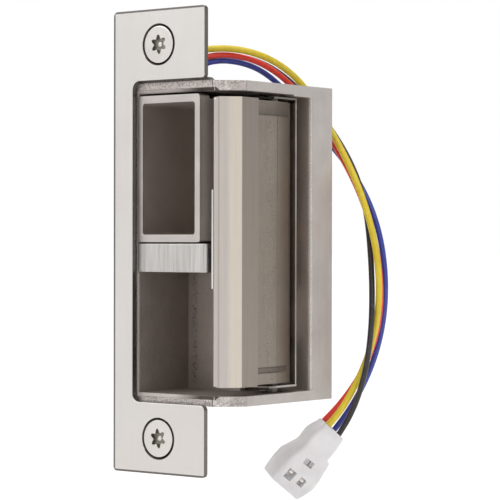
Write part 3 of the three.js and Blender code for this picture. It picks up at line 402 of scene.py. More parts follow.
def housing_steel():
    """investment cast steel: sandy front band and bevel, ground keeper-side face, duller insides with painted shade and
    painted light in the cavity
    """
    m = Mat("housing_cast_steel")
    nx, ny = m.axis("X", m.nor), m.axis("Y", m.nor)
    x, y, z = m.axis("X"), m.axis("Y"), m.axis("Z")
    side = m.op("MULTIPLY", m.remap(nx, 0.86, 0.97, 0.0, 1.0), inside(m, x=(23.3, None)))
    # the cavity starts at the lead-in chamfer, so its limit in z opens towards the front
    lead = m.remap(y, 0.2 * MM, 1.3 * MM, 1.15 * MM, 0.0)
    az = m.op("ABSOLUTE", m.op("ADD", z, 0.5 * MM))
    depth = m.op("SUBTRACT", az, lead)
    inner = m.op("MULTIPLY", ramp_between(m, depth, None, 40.2, 0.12), inside(m, x=(-9.2, 23.2), y=(0.36, None), soft=0.05))
    front = inside(m, y=(None, 8.2), soft=1.2)
    g1 = m.noise(0.46, 5.0, 0.72, 1.0)
    g2 = m.noise(1.25, 3.0, 0.5, 2.0)
    g3 = m.noise(0.16, 2.0, 0.6, 8.0)
    cloud = m.noise(8.0, 3.0, 0.55, 3.0)
    worn = m.remap(m.noise((3.0, 1.0, 1.0), 3.0, 0.6, 9.0), 0.42, 0.6, 0.0, 1.0)
    outer_half = m.remap(az, 41.3 * MM, 41.9 * MM, 0.0, 1.0)
    pit = m.remap(m.cells(1.15, 4.0), 0.06, 0.30, 0.0, 1.0, True)
    some = m.remap(m.noise(2.6, 2.0, 0.5, 5.0), 0.50, 0.57, 0.0, 1.0)
    pit = m.op("SUBTRACT", 1.0, m.op("MULTIPLY", m.op("SUBTRACT", 1.0, pit), some))
    streak = m.noise((0.5, 0.5, 16.0), 4.0, 0.6, 6.0)
    rough_zone = m.op("SUBTRACT", 1.0, m.op("MULTIPLY", side, 0.9))
    sand = m.op("MULTIPLY", m.op("ADD", 0.35, m.op("MULTIPLY", m.op("MAXIMUM", outer_half, worn), 0.65)), front)
    sand = m.op("ADD", m.op("MULTIPLY", sand, 1.0), m.op("MULTIPLY", m.op("SUBTRACT", 1.0, front), 0.45))
    sand = m.op("MULTIPLY", sand, m.op("SUBTRACT", 1.0, m.op("MULTIPLY", inner, 0.80)))
    # colour
    grain = m.op("MULTIPLY", m.remap(g1, 0.32, 0.68, 0.40, 1.50), m.remap(g3, 0.3, 0.7, 0.88, 1.12))
    grain = m.op("MULTIPLY", grain, m.remap(pit, 0.0, 1.0, 0.60, 1.0))
    grain = m.op("ADD", m.op("MULTIPLY", grain, sand), m.op("SUBTRACT", 1.0, sand))
    calm = m.op("MULTIPLY", m.remap(streak, 0.3, 0.7, 0.965, 1.035), m.remap(g3, 0.3, 0.7, 0.985, 1.015))
    v = m.op("ADD", m.op("MULTIPLY", grain, rough_zone), m.op("MULTIPLY", calm, m.op("SUBTRACT", 1.0, rough_zone)))
    v = m.op("MULTIPLY", v, m.remap(cloud, 0.3, 0.7, 0.94, 1.06))
    base = m.mix(front, (0.50, 0.470, 0.452), (0.49, 0.452, 0.434))
    base = m.mix(side, base, (0.520, 0.486, 0.468))
    # painted shade: the left wall of the cavity darkens towards the back
    back = m.remap(y, 3.0 * MM, 21.0 * MM, 0.0, 1.0)
    left_wall_shade = m.op("MULTIPLY", m.remap(nx, 0.7, 0.95, 0.0, 1.0), inside(m, x=(None, -8.0)))
    deep = m.mix(m.op("MULTIPLY", back, left_wall_shade), (0.490, 0.440, 0.408), (0.300, 0.260, 0.228))
    # painted shade: the flat floor and ceiling faces of the cavity are painted dark
    flat = m.op("ABSOLUTE", m.axis("Z", m.nor))
    level = m.remap(flat, 0.75, 0.95, 0.0, 1.0)
    deep = m.mix(level, deep, (0.205, 0.175, 0.158))
    # painted light: the strip of rear wall beside the keeper is painted lighter, fading out towards the bottom
    right_wall_light = m.op("MULTIPLY", m.remap(ny, -0.6, -0.9, 0.0, 1.0), inside(m, x=(11.5, None), y=(30.0, 37.5)))
    deep = m.mix(m.op("MULTIPLY", right_wall_light, ramp_between(m, z, -30.0, None, 14.0)), deep, (0.600, 0.510, 0.445))
    # painted light and shade: the lead-in chamfer is painted light at the left and fades to dark towards the right
    chamfer = m.op("MULTIPLY", ramp_between(m, y, None, 1.25, 0.15), inner)
    deep = m.mix(chamfer, deep, m.mix(m.remap(x, 4.0 * MM, 12.5 * MM, 0.0, 1.0), (0.52, 0.48, 0.455), (0.10, 0.085, 0.078)))
    level = m.op("MULTIPLY", m.op("MULTIPLY", level, inner), m.op("SUBTRACT", 1.0, chamfer))
    level = m.op("MAXIMUM", level, m.op("MULTIPLY", chamfer, m.remap(x, 12.5 * MM, 4.0 * MM, 0.0, 0.9)))
    base = m.mix(inner, base, deep)
    # painted highlight along the rounded edge of the rear pillar
    edge = m.op("MULTIPLY", inside(m, x=(22.2, 23.6), y=(34.7, 37.2), soft=0.2), m.op("SUBTRACT", 1.0, side))
    base = m.mix(m.op("MULTIPLY", edge, 0.7), base, (0.68, 0.63, 0.595))
    # under the tabs the band is painted dark for the shade of the sheet; past them a painted dark stripe stands for the
    # shade in a crease, then comes a scuffed patch
    tab = m.op("MULTIPLY", inside(m, x=(-11.6, 16.6), y=(None, 3.2), z=(None, 43.7)), m.op("MULTIPLY", m.remap(z, 42.30 * MM, 42.40 * MM, 0.0, 1.0), m.remap(y, 3.2 * MM, 2.6 * MM, 0.0, 1.0)))
    crease = m.op("MULTIPLY", inside(m, x=(16.95, 17.25), y=(None, 0.9), soft=0.08), m.op("SUBTRACT", 1.0, inner))
    base = m.mix(m.op("MULTIPLY", m.op("MAXIMUM", tab, crease), 0.85), base, (0.07, 0.06, 0.055))
    scuffed = m.op("MULTIPLY", m.op("MULTIPLY", inside(m, x=(17.3, 20.6), y=(None, 4.2), soft=0.1), m.op("SUBTRACT", 1.0, inner)), m.remap(g2, 0.42, 0.52, 0.0, 1.0))
    base = m.mix(m.op("MULTIPLY", scuffed, 0.55), base, (0.72, 0.69, 0.675))
    # a rough seam of sand grains in the corner behind the left wall
    seam = inside(m, x=(-8.9, -5.6), y=(20.5, 22.6), z=(-40.0, -8.4), soft=0.35)
    dots = m.op("MAXIMUM", m.remap(m.cells(0.62, 11.0), 0.24, 0.52, 0.0, 1.0, True), m.remap(m.noise(1.6, 2.0, 0.6, 14.0), 0.46, 0.60, 0.0, 1.0))
    core = inside(m, x=(-7.5, -6.0), y=(20.5, 22.6), z=(-39.0, -9.0), soft=0.5)
    dots = m.op("SUBTRACT", 1.0, m.op("MULTIPLY", m.op("SUBTRACT", 1.0, dots), core))
    v = m.op("MULTIPLY", v, m.op("SUBTRACT", 1.0, m.op("MULTIPLY", seam, m.op("ADD", 0.06, m.op("MULTIPLY", m.op("SUBTRACT", 1.0, dots), 0.60)))))
    r = m.op("ADD", m.remap(g2, 0.3, 0.7, 0.44, 0.54), m.op("MULTIPLY", inner, 0.10))
    h = m.op("ADD", m.op("MULTIPLY", g1, 0.8), m.op("MULTIPLY", g2, 0.6))
    h = m.op("ADD", h, m.op("MULTIPLY", pit, 0.35))
    h = m.op("MULTIPLY", h, m.op("MULTIPLY", rough_zone, m.op("ADD", sand, 0.15)))
    m.set(Base_Color=m.mul(base, v), Metallic=m.op("SUBTRACT", 1.0, m.op("ADD", m.op("MULTIPLY", side, 0.62), m.op("MULTIPLY", level, 0.85))), Roughness=r, Normal=m.bump(h, 0.13))
    return m.m


def keeper_steel():
    """keeper: ground ramp and front stripe, then a duller cast panel with painted shade that deepens towards the heel,
    and painted shade in its reliefs
    """
    m = Mat("keeper_steel")
    y, z = m.axis("Y"), m.axis("Z")
    ny = m.axis("Y", m.nor)
    ground = m.op("MULTIPLY", m.remap(ny, -0.25, -0.45, 0.0, 1.0), inside(m, y=(None, 5.9), soft=0.1))
    s1 = m.noise((0.26, 0.26, 18.0), 4.0, 0.62, 1.0)
    s2 = m.noise((1.1, 1.1, 30.0), 3.0, 0.5, 2.0)
    fine = m.noise(0.20, 3.0, 0.6, 3.0)
    grit = m.noise(0.55, 4.0, 0.7, 12.0)
    cloud = m.noise((5.0, 5.0, 9.0), 4.0, 0.6, 4.0)
    panel = m.op("MULTIPLY", m.op("SUBTRACT", 1.0, ground), ramp_between(m, y, 12.5, None, 0.15))
    band = m.op("MULTIPLY", ramp_between(m, y, 15.5, 19.8, 1.2), panel)
    pit = m.remap(m.cells(0.95, 5.0), 0.10, 0.36, 0.0, 1.0, True)
    some = m.op("MULTIPLY", m.remap(m.noise((1.5, 1.5, 3.0), 3.0, 0.6, 6.0), 0.42, 0.55, 0.0, 1.0), m.op("ADD", 0.06, m.op("MULTIPLY", band, 0.94)))
    pit = m.op("SUBTRACT", 1.0, m.op("MULTIPLY", m.op("SUBTRACT", 1.0, pit), some))
    speck = m.op("MULTIPLY", m.remap(m.cells(0.9, 21.0), 0.26, 0.12, 0.0, 1.0, True), some)
    v = m.op("MULTIPLY", m.remap(s1, 0.3, 0.7, 0.965, 1.035), m.remap(s2, 0.3, 0.7, 0.975, 1.025))
    soft = m.op("MULTIPLY", m.remap(grit, 0.3, 0.7, 0.93, 1.07), m.remap(cloud, 0.3, 0.7, 0.92, 1.08))
    v = m.op("ADD", m.op("MULTIPLY", v, m.op("SUBTRACT", 1.0, panel)), m.op("MULTIPLY", m.op("MULTIPLY", soft, m.remap(s2, 0.3, 0.7, 0.98, 1.02)), panel))
    v = m.op("MULTIPLY", v, m.remap(fine, 0.3, 0.7, 0.97, 1.03))
    v = m.op("MULTIPLY", v, m.remap(pit, 0.0, 1.0, 0.66, 1.0))
    v = m.op("ADD", v, m.op("MULTIPLY", speck, 0.28))
    # painted shade in the two reliefs, deeper towards the bottom of the upper one, and a painted dark stripe along the
    # step at the edge of the panel
    relief = m.op("MAXIMUM", inside(m, y=(12.6, 26.9), z=(33.7, 37.2), soft=0.2), inside(m, y=(12.4, 26.2), z=(-35.0, -33.4), soft=0.2))
    foot = m.op("MAXIMUM", inside(m, y=(12.4, 26.9), z=(33.45, 33.95), soft=0.12), inside(m, y=(12.4, 26.2), z=(-33.75, -33.35), soft=0.12))
    shade = m.op("ADD", m.op("MULTIPLY", relief, m.remap(z, 37.2 * MM, 34.2 * MM, 0.14, 0.32)), m.op("MULTIPLY", foot, 0.24))
    v = m.op("MULTIPLY", v, m.op("SUBTRACT", 1.0, shade))
    # painted shade: the cast panel darkens towards the heel
    heel = m.remap(y, 17.0 * MM, 27.5 * MM, 0.0, 1.0, True)
    stripe = (0.350, 0.312, 0.277)
    outer = m.mix(panel, stripe, m.mix(heel, (0.322, 0.286, 0.248), (0.185, 0.152, 0.124)))
    crest = ramp_between(m, y, 3.0, 5.7, 0.5)
    ramp = m.mix(crest, (0.520, 0.482, 0.452), (0.615, 0.556, 0.492))
    lip = ramp_between(m, y, 0.95, 1.2, 0.12)
    ramp = m.mix(m.op("MULTIPLY", lip, 0.5), ramp, (0.24, 0.21, 0.19))
    base = m.mix(ground, outer, ramp)
    r = m.op("ADD", m.remap(cloud, 0.3, 0.7, 0.40, 0.48), m.op("MULTIPLY", ground, -0.06))
    h = m.op("ADD", m.op("MULTIPLY", s1, 0.25), m.op("MULTIPLY", fine, 0.25))
    h = m.op("ADD", h, m.op("MULTIPLY", pit, 0.6))
    h = m.op("ADD", h, m.op("MULTIPLY", m.op("MULTIPLY", grit, panel), 0.8))
    m.set(Base_Color=m.mul(base, v), Metallic=1.0, Roughness=r, Normal=m.bump(h, 0.03))
    return m.m


def pocket_steel():
    m = Mat("pocket_steel")
    inner = inside(m, x=(-7.35, 11.1), y=(0.75, 25.5), z=(1.66, 37.1), soft=0.15)
    s = m.noise((0.2, 0.2, 6.0), 4.0, 0.6, 1.0)
    cloud = m.noise(7.0, 3.0, 0.5, 2.0)
    fine = m.noise(0.2, 2.0, 0.6, 3.0)
    v = m.op("MULTIPLY", m.remap(s, 0.3, 0.7, 0.98, 1.02), m.remap(cloud, 0.3, 0.7, 0.94, 1.06))
    v = m.op("MULTIPLY", v, m.remap(fine, 0.3, 0.7, 0.98, 1.02))
    base = m.mix(inner, (0.515, 0.484, 0.466), (0.475, 0.425, 0.392))
    # painted light: the outer faces on the keeper side take a darker warm colour and a faint painted glow (emission)
    out = m.op("MULTIPLY", m.remap(m.axis("X", m.nor), 0.8, 0.95, 0.0, 1.0), inside(m, x=(12.2, None), y=(0.5, 12.0), soft=1.5))
    base = m.mix(out, base, (0.40, 0.345, 0.31))
    m.set(Base_Color=m.mul(base, v), Metallic=m.op("SUBTRACT", 1.0, m.op("MULTIPLY", out, 0.95)),
          Emission_Color=rgba((1.0, 0.80, 0.68)), Emission_Strength=m.op("MULTIPLY", m.op("MULTIPLY", out, v), 0.020), Roughness=m.op("ADD", m.remap(cloud, 0.3, 0.7, 0.38, 0.46), m.op("MULTIPLY", inner, 0.16)),
          Normal=m.bump(s, 0.003))
    return m.m


def bracket():
    """half-hard stainless strip; its flanges sit in the shade of the hinge"""
    m = Mat("bracket_steel")
    s = m.noise((0.3, 0.3, 8.0), 4.0, 0.6, 1.0)
    cloud = m.noise(5.0, 3.0, 0.5, 2.0)
    flange = m.op("MAXIMUM", ramp_between(m, m.axis("Z"), 37.6, None, 0.3), m.op("MULTIPLY", ramp_between(m, m.axis("Z"), None, -38.0, 0.2), ramp_between(m, m.axis("Y"), None, 21.0, 1.0)))
    v = m.op("MULTIPLY", m.remap(s, 0.3, 0.7, 0.9, 1.1), m.remap(cloud, 0.3, 0.7, 0.9, 1.1))
    base = m.mix(flange, (0.44, 0.41, 0.385), (0.24, 0.21, 0.185))
    m.set(Base_Color=m.mul(base, v), Metallic=1.0, Roughness=m.remap(cloud, 0.3, 0.7, 0.27, 0.36), Normal=m.bump(s, 0.004))
    return m.m


def plate_steel():
    """satin stainless sheet: faint vertical grain, and a thin painted dark stripe along the outline for the shade at
    its edge
    """
    m = Mat("faceplate_satin_steel")
    s1 = m.noise((0.10, 0.10, 3.0), 4.0, 0.6, 1.0)
    s2 = m.noise((0.9, 0.9, 14.0), 3.0, 0.5, 2.0)
    cloud = m.noise(16.0, 3.0, 0.5, 3.0)
    speck = m.noise(0.22, 2.0, 0.6, 4.0)
    x, z = m.axis("X"), m.op("ABSOLUTE", m.axis("Z"))
    # painted shade: a thin dark stripe along the left edge and the top and bottom ends
    outline_shade = m.op("MAXIMUM", m.remap(x, -15.08 * MM, -15.26 * MM, 0.0, 1.0), m.remap(z, 61.26 * MM, 61.40 * MM, 0.0, 1.0))
    v = m.op("MULTIPLY", m.remap(s1, 0.3, 0.7, 0.988, 1.012), m.remap(s2, 0.3, 0.7, 0.99, 1.01))
    v = m.op("MULTIPLY", v, m.remap(cloud, 0.3, 0.7, 0.985, 1.015))
    v = m.op("MULTIPLY", v, m.remap(speck, 0.3, 0.7, 0.99, 1.01))
    tint = m.mix(m.remap(m.noise(30.0, 2.0, 0.5, 7.0), 0.35, 0.65, 0.0, 1.0), (0.650, 0.622, 0.602), (0.638, 0.623, 0.608))
    base = m.mix(outline_shade, tint, (0.16, 0.148, 0.140))
    m.set(Base_Color=m.mul(base, v), Metallic=1.0, Roughness=m.op("ADD", m.remap(s2, 0.25, 0.75, 0.37, 0.43), m.remap(cloud, 0.3, 0.7, -0.02, 0.02)),
          Normal=m.bump(s1, 0.0015))
    return m.m


M = {
    "faceplate_steel": plate_steel(),
    # darker sheared edge of the sheet, also used as painted shade round the countersinks
    "plate_edge": brushed("faceplate_sheared_edge_and_painted_shade", (0.20, 0.184, 0.172), 0.36, along="Y", grain=0.2, length=2.0, streak=0.12, mottle=0.10, bump=0.006),
    # painted shade along the plate's outline
    "plate_line": brushed("faceplate_outline_painted_shade", (0.11, 0.10, 0.095), 0.40, along="Y", grain=0.2, length=2.0, streak=0.12, mottle=0.10, bump=0.004),
    "screw_steel": brushed("screw_steel", (0.66, 0.63, 0.61), 0.36, grain=0.2, length=0.4, streak=0.03, mottle=0.05, bump=0.002),
    # painted shade: near black rims of the screw heads and rings in the countersinks
    "screw_edge": brushed("screw_rim_painted_shade", (0.055, 0.048, 0.044), 0.42, grain=0.2, length=0.4, streak=0.08, mottle=0.1, bump=0.004),
    # painted shade in the screw recesses
    "screw_recess": cast("screw_recess_steel_painted_shade", (0.25, 0.24, 0.205), 0.50, grit=0.5, depth=0.01),
    "cast_housing": housing_steel(),
    "cover_steel": brushed("cover_zinc_sheet", (0.62, 0.62, 0.62), 0.36, streak=0.03, mottle=0.08),
    "keeper_steel": keeper_steel(),
    "wear_plate_steel": brushed("wear_plate_steel", (0.75, 0.73, 0.71), 0.25),
    "bracket_steel": bracket(),
    # painted shade: the pins and the bronze bushings are given very dark colours for the shade they sit in under the
    # keeper
    "pin_steel": brushed("pin_steel", (0.17, 0.16, 0.15), 0.34, grain=0.1, length=0.5, streak=0.03),
    "bushing_bronze": cast("bushing_bronze", (0.13, 0.095, 0.065), 0.46, grit=0.15, depth=0.01),
    "spring_steel": brushed("spring_steel", (0.42, 0.41, 0.40), 0.3, grain=0.3, length=0.3),
    "pocket_steel": pocket_steel(),
    "block_steel": brushed("block_ground_steel", (0.515, 0.502, 0.488), 0.36, grain=0.30, length=12.0, streak=0.15, mottle=0.05, bump=0.016),
    "zinc_steel": brushed("zinc_plated_steel", (0.60, 0.61, 0.60), 0.34, grain=0.4, length=3.0, mottle=0.12),
    "bobbin_plastic": plastic("bobbin_plastic", (0.03, 0.03, 0.032), 0.45),
    "copper_winding": brushed("copper_winding", (0.78, 0.33, 0.13), 0.28, grain=0.4, length=2.0),
    "plunger_steel": brushed("plunger_nickel", (0.62, 0.61, 0.59), 0.22, grain=0.12, length=6.0),
    "lever_steel": cast("lever_hardened_steel", (0.30, 0.29, 0.285), 0.36, grit=0.2, depth=0.01),
    "grommet_rubber": plastic("grommet_rubber", (0.025, 0.025, 0.025), 0.62),
    "wire_yellow": pvc("wire_yellow_pvc", srgb(226, 203, 50), srgb(206, 176, 34)),
    "wire_red": pvc("wire_red_pvc", srgb(238, 70, 56), srgb(212, 44, 36)),
    "wire_blue": pvc("wire_blue_pvc", srgb(60, 74, 168), srgb(42, 54, 136)),
    "wire_black": pvc("wire_black_pvc", srgb(46, 42, 44), srgb(30, 27, 29)),
    "connector_nylon": nylon("connector_natural_nylon"),
    "contact_tin": brushed("contact_tin", (0.78, 0.755, 0.73), 0.30),
}


# ------------------------------------------------------------------ mesh tools
def new_object(name, bm_or_mesh):
    me = bm_or_mesh
    if isinstance(bm_or_mesh, bmesh.types.BMesh):
        me = bpy.data.meshes.new(name)
        bmesh.ops.recalc_face_normals(bm_or_mesh, faces=bm_or_mesh.faces)
        bm_or_mesh.to_mesh(me)
        bm_or_mesh.free()
    ob = bpy.data.objects.new(name, me)
    scene.collection.objects.link(ob)
    return ob


def bake(ob):
    """apply every modifier"""
    dg = bpy.context.evaluated_depsgraph_get()
    me = bpy.data.meshes.new_from_object(ob.evaluated_get(dg), preserve_all_data_layers=True, depsgraph=dg)
    me.name = ob.name
    ob.modifiers.clear()
    old, ob.data = ob.data, me
    bpy.data.meshes.remove(old)
    return ob


def boolean(ob, other, op="DIFFERENCE", drop=True):
    mod = ob.modifiers.new("cut", "BOOLEAN")
    mod.object, mod.operation, mod.solver = other, op, "EXACT"
    bake(ob)
    if drop:
        me = other.data
        bpy.data.objects.remove(other)
        bpy.data.meshes.remove(me)
    return ob


def soften(ob, width, segs=3, angle=32.0, dissolve=0.6, clamp=True):
    """rounds the sharp edges of a mesh and leaves its flat faces flat"""
    bm = bmesh.new()
    bm.from_mesh(ob.data)
    bmesh.ops.remove_doubles(bm, verts=bm.verts, dist=2e-6)
    bmesh.ops.dissolve_limit(bm, angle_limit=math.radians(dissolve), verts=bm.verts, edges=bm.edges, delimit=set())
    bm.to_mesh(ob.data)
    bm.free()
    if width:
        mod = ob.modifiers.new("round", "BEVEL")
        mod.width, mod.segments, mod.limit_method = width * MM, segs, "ANGLE"
        mod.angle_limit = math.radians(angle)
        mod.use_clamp_overlap = clamp
        mod.profile = 0.5
        bake(ob)
    smooth(ob, 42.0)
    return ob


def smooth(ob, angle=42.0, weighted=True):
    me = ob.data
    me.polygons.foreach_set("use_smooth", [True] * len(me.polygons))
    me.set_sharp_from_angle(angle=math.radians(angle))
    if weighted:
        w = ob.modifiers.new("normals", "WEIGHTED_NORMAL")
        w.mode, w.weight, w.keep_sharp = "FACE_AREA", 60, True
        bake(ob)
    return ob


def finish_piece(ob, slot, body, *nodes, material=None):
    ob.data.materials.clear()
    ob.data.materials.append(material or M[slot])
    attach(ob, body)
    if nodes:
        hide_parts(*nodes)
    return ob


def repaint(ob, material, test):
    """puts a second material on the faces for which test(face normal, face centre in mm) is true"""
    ob.data.materials.append(material)
    k = len(ob.data.materials) - 1
    for f in ob.data.polygons:
        if test(f.normal, f.center * 1000.0):
            f.material_index = k
    return ob


BODY_OF = {n: b for b, ns in frame["record"]["behaviour"]["bodies"].items() for n in ns}
SLOT_OF = {s["node"]: s["material_slot"] for s in frame["record"]["subparts"]}


def from_cad(node, name, width, segs=3, angle=32.0, clamp=True, material=None):
    """a finer copy of a CAD node with its edges rounded"""
    ob = new_object(name, NODES[node].data.copy())
    ob.data.materials.clear()
    soften(ob, width, segs, angle, clamp=clamp)
    return finish_piece(ob, SLOT_OF[node], BODY_OF[node], node, material=material)


def rounded(corners, steps=6):
    """corner list (x, y, r) to an outline with each corner rounded"""
    out, n = [], len(corners)
    for i, (x, y, r) in enumerate(corners):
        if not r:
            out.append((x, y))
            continue
        p, q = Vector(corners[i - 1][:2]), Vector(corners[(i + 1) % n][:2])
        c = Vector((x, y))
        a, b = (p - c).normalized(), (q - c).normalized()
        half = math.acos(max(-1, min(1, a.dot(b)))) / 2
        t, k = r / math.tan(half), (a + b).normalized() * (r / math.sin(half))
        v0, v1 = a * t - k, b * t - k
        s0, s1 = math.atan2(v0.y, v0.x), math.atan2(v1.y, v1.x)
        d = (s1 - s0 + math.pi) % (2 * math.pi) - math.pi
        out += [(x + k.x + r * math.cos(s0 + d * j / steps), y + k.y + r * math.sin(s0 + d * j / steps)) for j in range(steps + 1)]
    return out


def prism(name, outline, a, b, axis="Y", holes=()):
    """an outline (mm) pushed along an axis: axis Y takes (x, z), axis Z takes (x, y), axis X takes (y, z)"""
    def at(u, v, w):
        return {"Y": (u, w, v), "Z": (u, v, w), "X": (w, u, v)}[axis]
    bm = bmesh.new()
    ring0 = [bm.verts.new(Vector(at(u, v, a)) * MM) for u, v in outline]
    ring1 = [bm.verts.new(Vector(at(u, v, b)) * MM) for u, v in outline]
    bm.faces.new(ring0)
    bm.faces.new(ring1[::-1])
    n = len(outline)
    for i in range(n):
        bm.faces.new((ring0[i], ring1[i], ring1[(i + 1) % n], ring0[(i + 1) % n]))
    return new_object(name, bm)


def block(name, x0, x1, y0, y1, z0, z1):
    return prism(name, [(x0, y0), (x1, y0), (x1, y1), (x0, y1)], z0, z1, "Z")


def lathe(name, profile, centre, axis="Y", segs=96, radius=None):
    """profile (r, w) in mm turned round an axis through centre; it starts and ends at r = 0.
    radius(r, w, angle) may change the radius of a point, as a thread does."""
    def at(r, w, a):
        c, s = r * math.cos(a), r * math.sin(a)
        v = {"Y": (c, w, s), "Z": (c, s, w), "X": (w, c, s)}[axis]
        return (Vector(v) + Vector(centre)) * MM
    bm = bmesh.new()
    rings = []
    for r, w in profile:
        if r < 1e-6:
            rings.append([bm.verts.new(at(0, w, 0))])
        else:
            rings.append([bm.verts.new(at(radius(r, w, 2 * math.pi * k / segs) if radius else r, w, 2 * math.pi * k / segs)) for k in range(segs)])
    for p, q in zip(rings, rings[1:]):
        for k in range(segs):
            j = (k + 1) % segs
            if len(p) == 1 and len(q) > 1:
                bm.faces.new((p[0], q[k], q[j]))
            elif len(q) == 1 and len(p) > 1:
                bm.faces.new((p[k], q[0], p[j]))
            elif len(p) > 1:
                bm.faces.new((p[k], q[k], q[j], p[j]))
    return new_object(name, bm)


def ringlathe(name, profile, centre, axis="Z", segs=96, radius=None):
    """a closed profile (r, w) turned round an axis: a ring or sleeve"""
    def at(r, w, a):
        c, s = r * math.cos(a), r * math.sin(a)
        v = {"Y": (c, w, s), "Z": (c, s, w), "X": (w, c, s)}[axis]
        return (Vector(v) + Vector(centre)) * MM
    bm = bmesh.new()
    rings = [[bm.verts.new(at(radius(r, w, 2 * math.pi * k / segs) if radius else r, w, 2 * math.pi * k / segs)) for k in range(segs)] for r, w in profile]
    for i, p in enumerate(rings):
        q = rings[(i + 1) % len(rings)]
        for k in range(segs):
            j = (k + 1) % segs
            bm.faces.new((p[k], q[k], q[j], p[j]))
    return new_object(name, bm)


def sweep(name, points, radius, sides=16, taper=0.0):
    """a round bar along points in mm, closed at both ends"""
    P = [Vector(p) for p in points]
    T = [(P[min(i + 1, len(P) - 1)] - P[max(i - 1, 0)]).normalized() for i in range(len(P))]
    n = T[0].orthogonal().normalized()
    bm, rings = bmesh.new(), []
    for i, (p, t) in enumerate(zip(P, T)):
        n = (n - t * n.dot(t)).normalized()
        b = t.cross(n)
        rings.append([bm.verts.new((p + (n * math.cos(2 * math.pi * k / sides) + b * math.sin(2 * math.pi * k / sides)) * radius) * MM) for k in range(sides)])
    for p, q in zip(rings, rings[1:]):
        for k in range(sides):
            j = (k + 1) % sides
            bm.faces.new((p[k], p[j], q[j], q[k]))
    for ring, p, t, s in ((rings[0], P[0], T[0], -1), (rings[-1], P[-1], T[-1], 1)):
        tip = bm.verts.new((p + t * s * radius * 0.15) * MM)
        for k in range(sides):
            bm.faces.new((ring[k], ring[(k + 1) % sides], tip))
    return new_object(name, bm)


# ------------------------------------------------------------------ pieces
def level_normals(ob, test):
    """gives the corners of the faces that pass the test, and of the bevels that meet them, the flat face's own normal"""
    me = ob.data
    n = [tuple(c.vector) for c in me.corner_normals]
    flat = {v: (0.0, math.copysign(1.0, f.normal.y), 0.0) for f in me.polygons if test(f) for v in f.vertices}
    for f in me.polygons:
        for li, v in zip(f.loop_indices, f.vertices):
            if v in flat and (f.area < 1e-8 or f.normal.dot(Vector(flat[v])) > 0.7):
                n[li] = flat[v]
    me.normals_split_custom_set(n)


def make_faceplate():
    hw, hh = 31.75 / 2, 123.8 / 2
    out = rounded([(-hw, -hh, 1.1), (hw, -hh, 1.1), (hw, -42.9, 1.4), (-9.03, -42.9, 2.2),
                   (-9.03, 42.9, 2.2), (hw, 42.9, 0.9), (hw, hh, 1.1), (-hw, hh, 1.3)], 9)
    ob = prism("faceplate_sheet", out, -1.6, 0.0)
    t = math.tan(math.radians(41))
    for s in (1, -1):
        cone = lathe("cone", [(0, -2.0), (5.55 + 0.4 * t, -2.0), (5.55 - 2.0 * t, 0.4), (0, 0.4)], (0, 0, s * 52.4), "Y", 96)
        boolean(ob, cone)
    soften(ob, 0.26, 4, 28.0)
    finish_piece(ob, "faceplate_steel", "frame", "faceplate")
    # the cut edges take the darker sheared edge colour; on part of the bevel round each countersink the same colour is
    # painted shade
    repaint(ob, M["plate_edge"], lambda n, c: -1.595 < c.y and (abs(n.y) < 0.62 or (n.y > -0.97 and c.y < -1.3 and 5.5 < math.hypot(c.x, abs(c.z) - 52.4) < 6.0 and c.x - c.z + math.copysign(52.4, c.z) > -1.5)))
    level_normals(ob, lambda f: abs(f.normal.y) > 0.9995 and f.area > 1e-7)
    # painted shade: the bevels of the outline, and the countersinks, are painted dark
    repaint(ob, M["plate_line"], lambda n, c: -1.595 < c.y and 0.3 < abs(n.y) < 0.95 and (c.x < -15.3 or abs(c.z) > 61.4 or (abs(c.z) > 44 and c.x > 15.5 and abs(n.y) < 0.6)))
    # painted shade: the countersink walls take the near black rim colour, a dark ring round each head
    return repaint(ob, M["screw_edge"], lambda n, c: abs(n.y) < 0.9 and 3.0 < math.hypot(c.x, abs(c.z) - 52.4) < 5.53)


def star(name, cz, r_out, r_in, y0, y1, turn=0.26, lobes=6, n=96):
    """six-lobed recess outline"""
    pts = []
    for k in range(n):
        a = 2 * math.pi * k / n
        w = 0.5 + 0.5 * math.cos(lobes * (a - turn))
        pts.append((r_in + (r_out - r_in) * w ** 1.1, a))
    return prism(name, [(r * math.cos(a), cz + r * math.sin(a)) for r, a in pts], y0, y1)


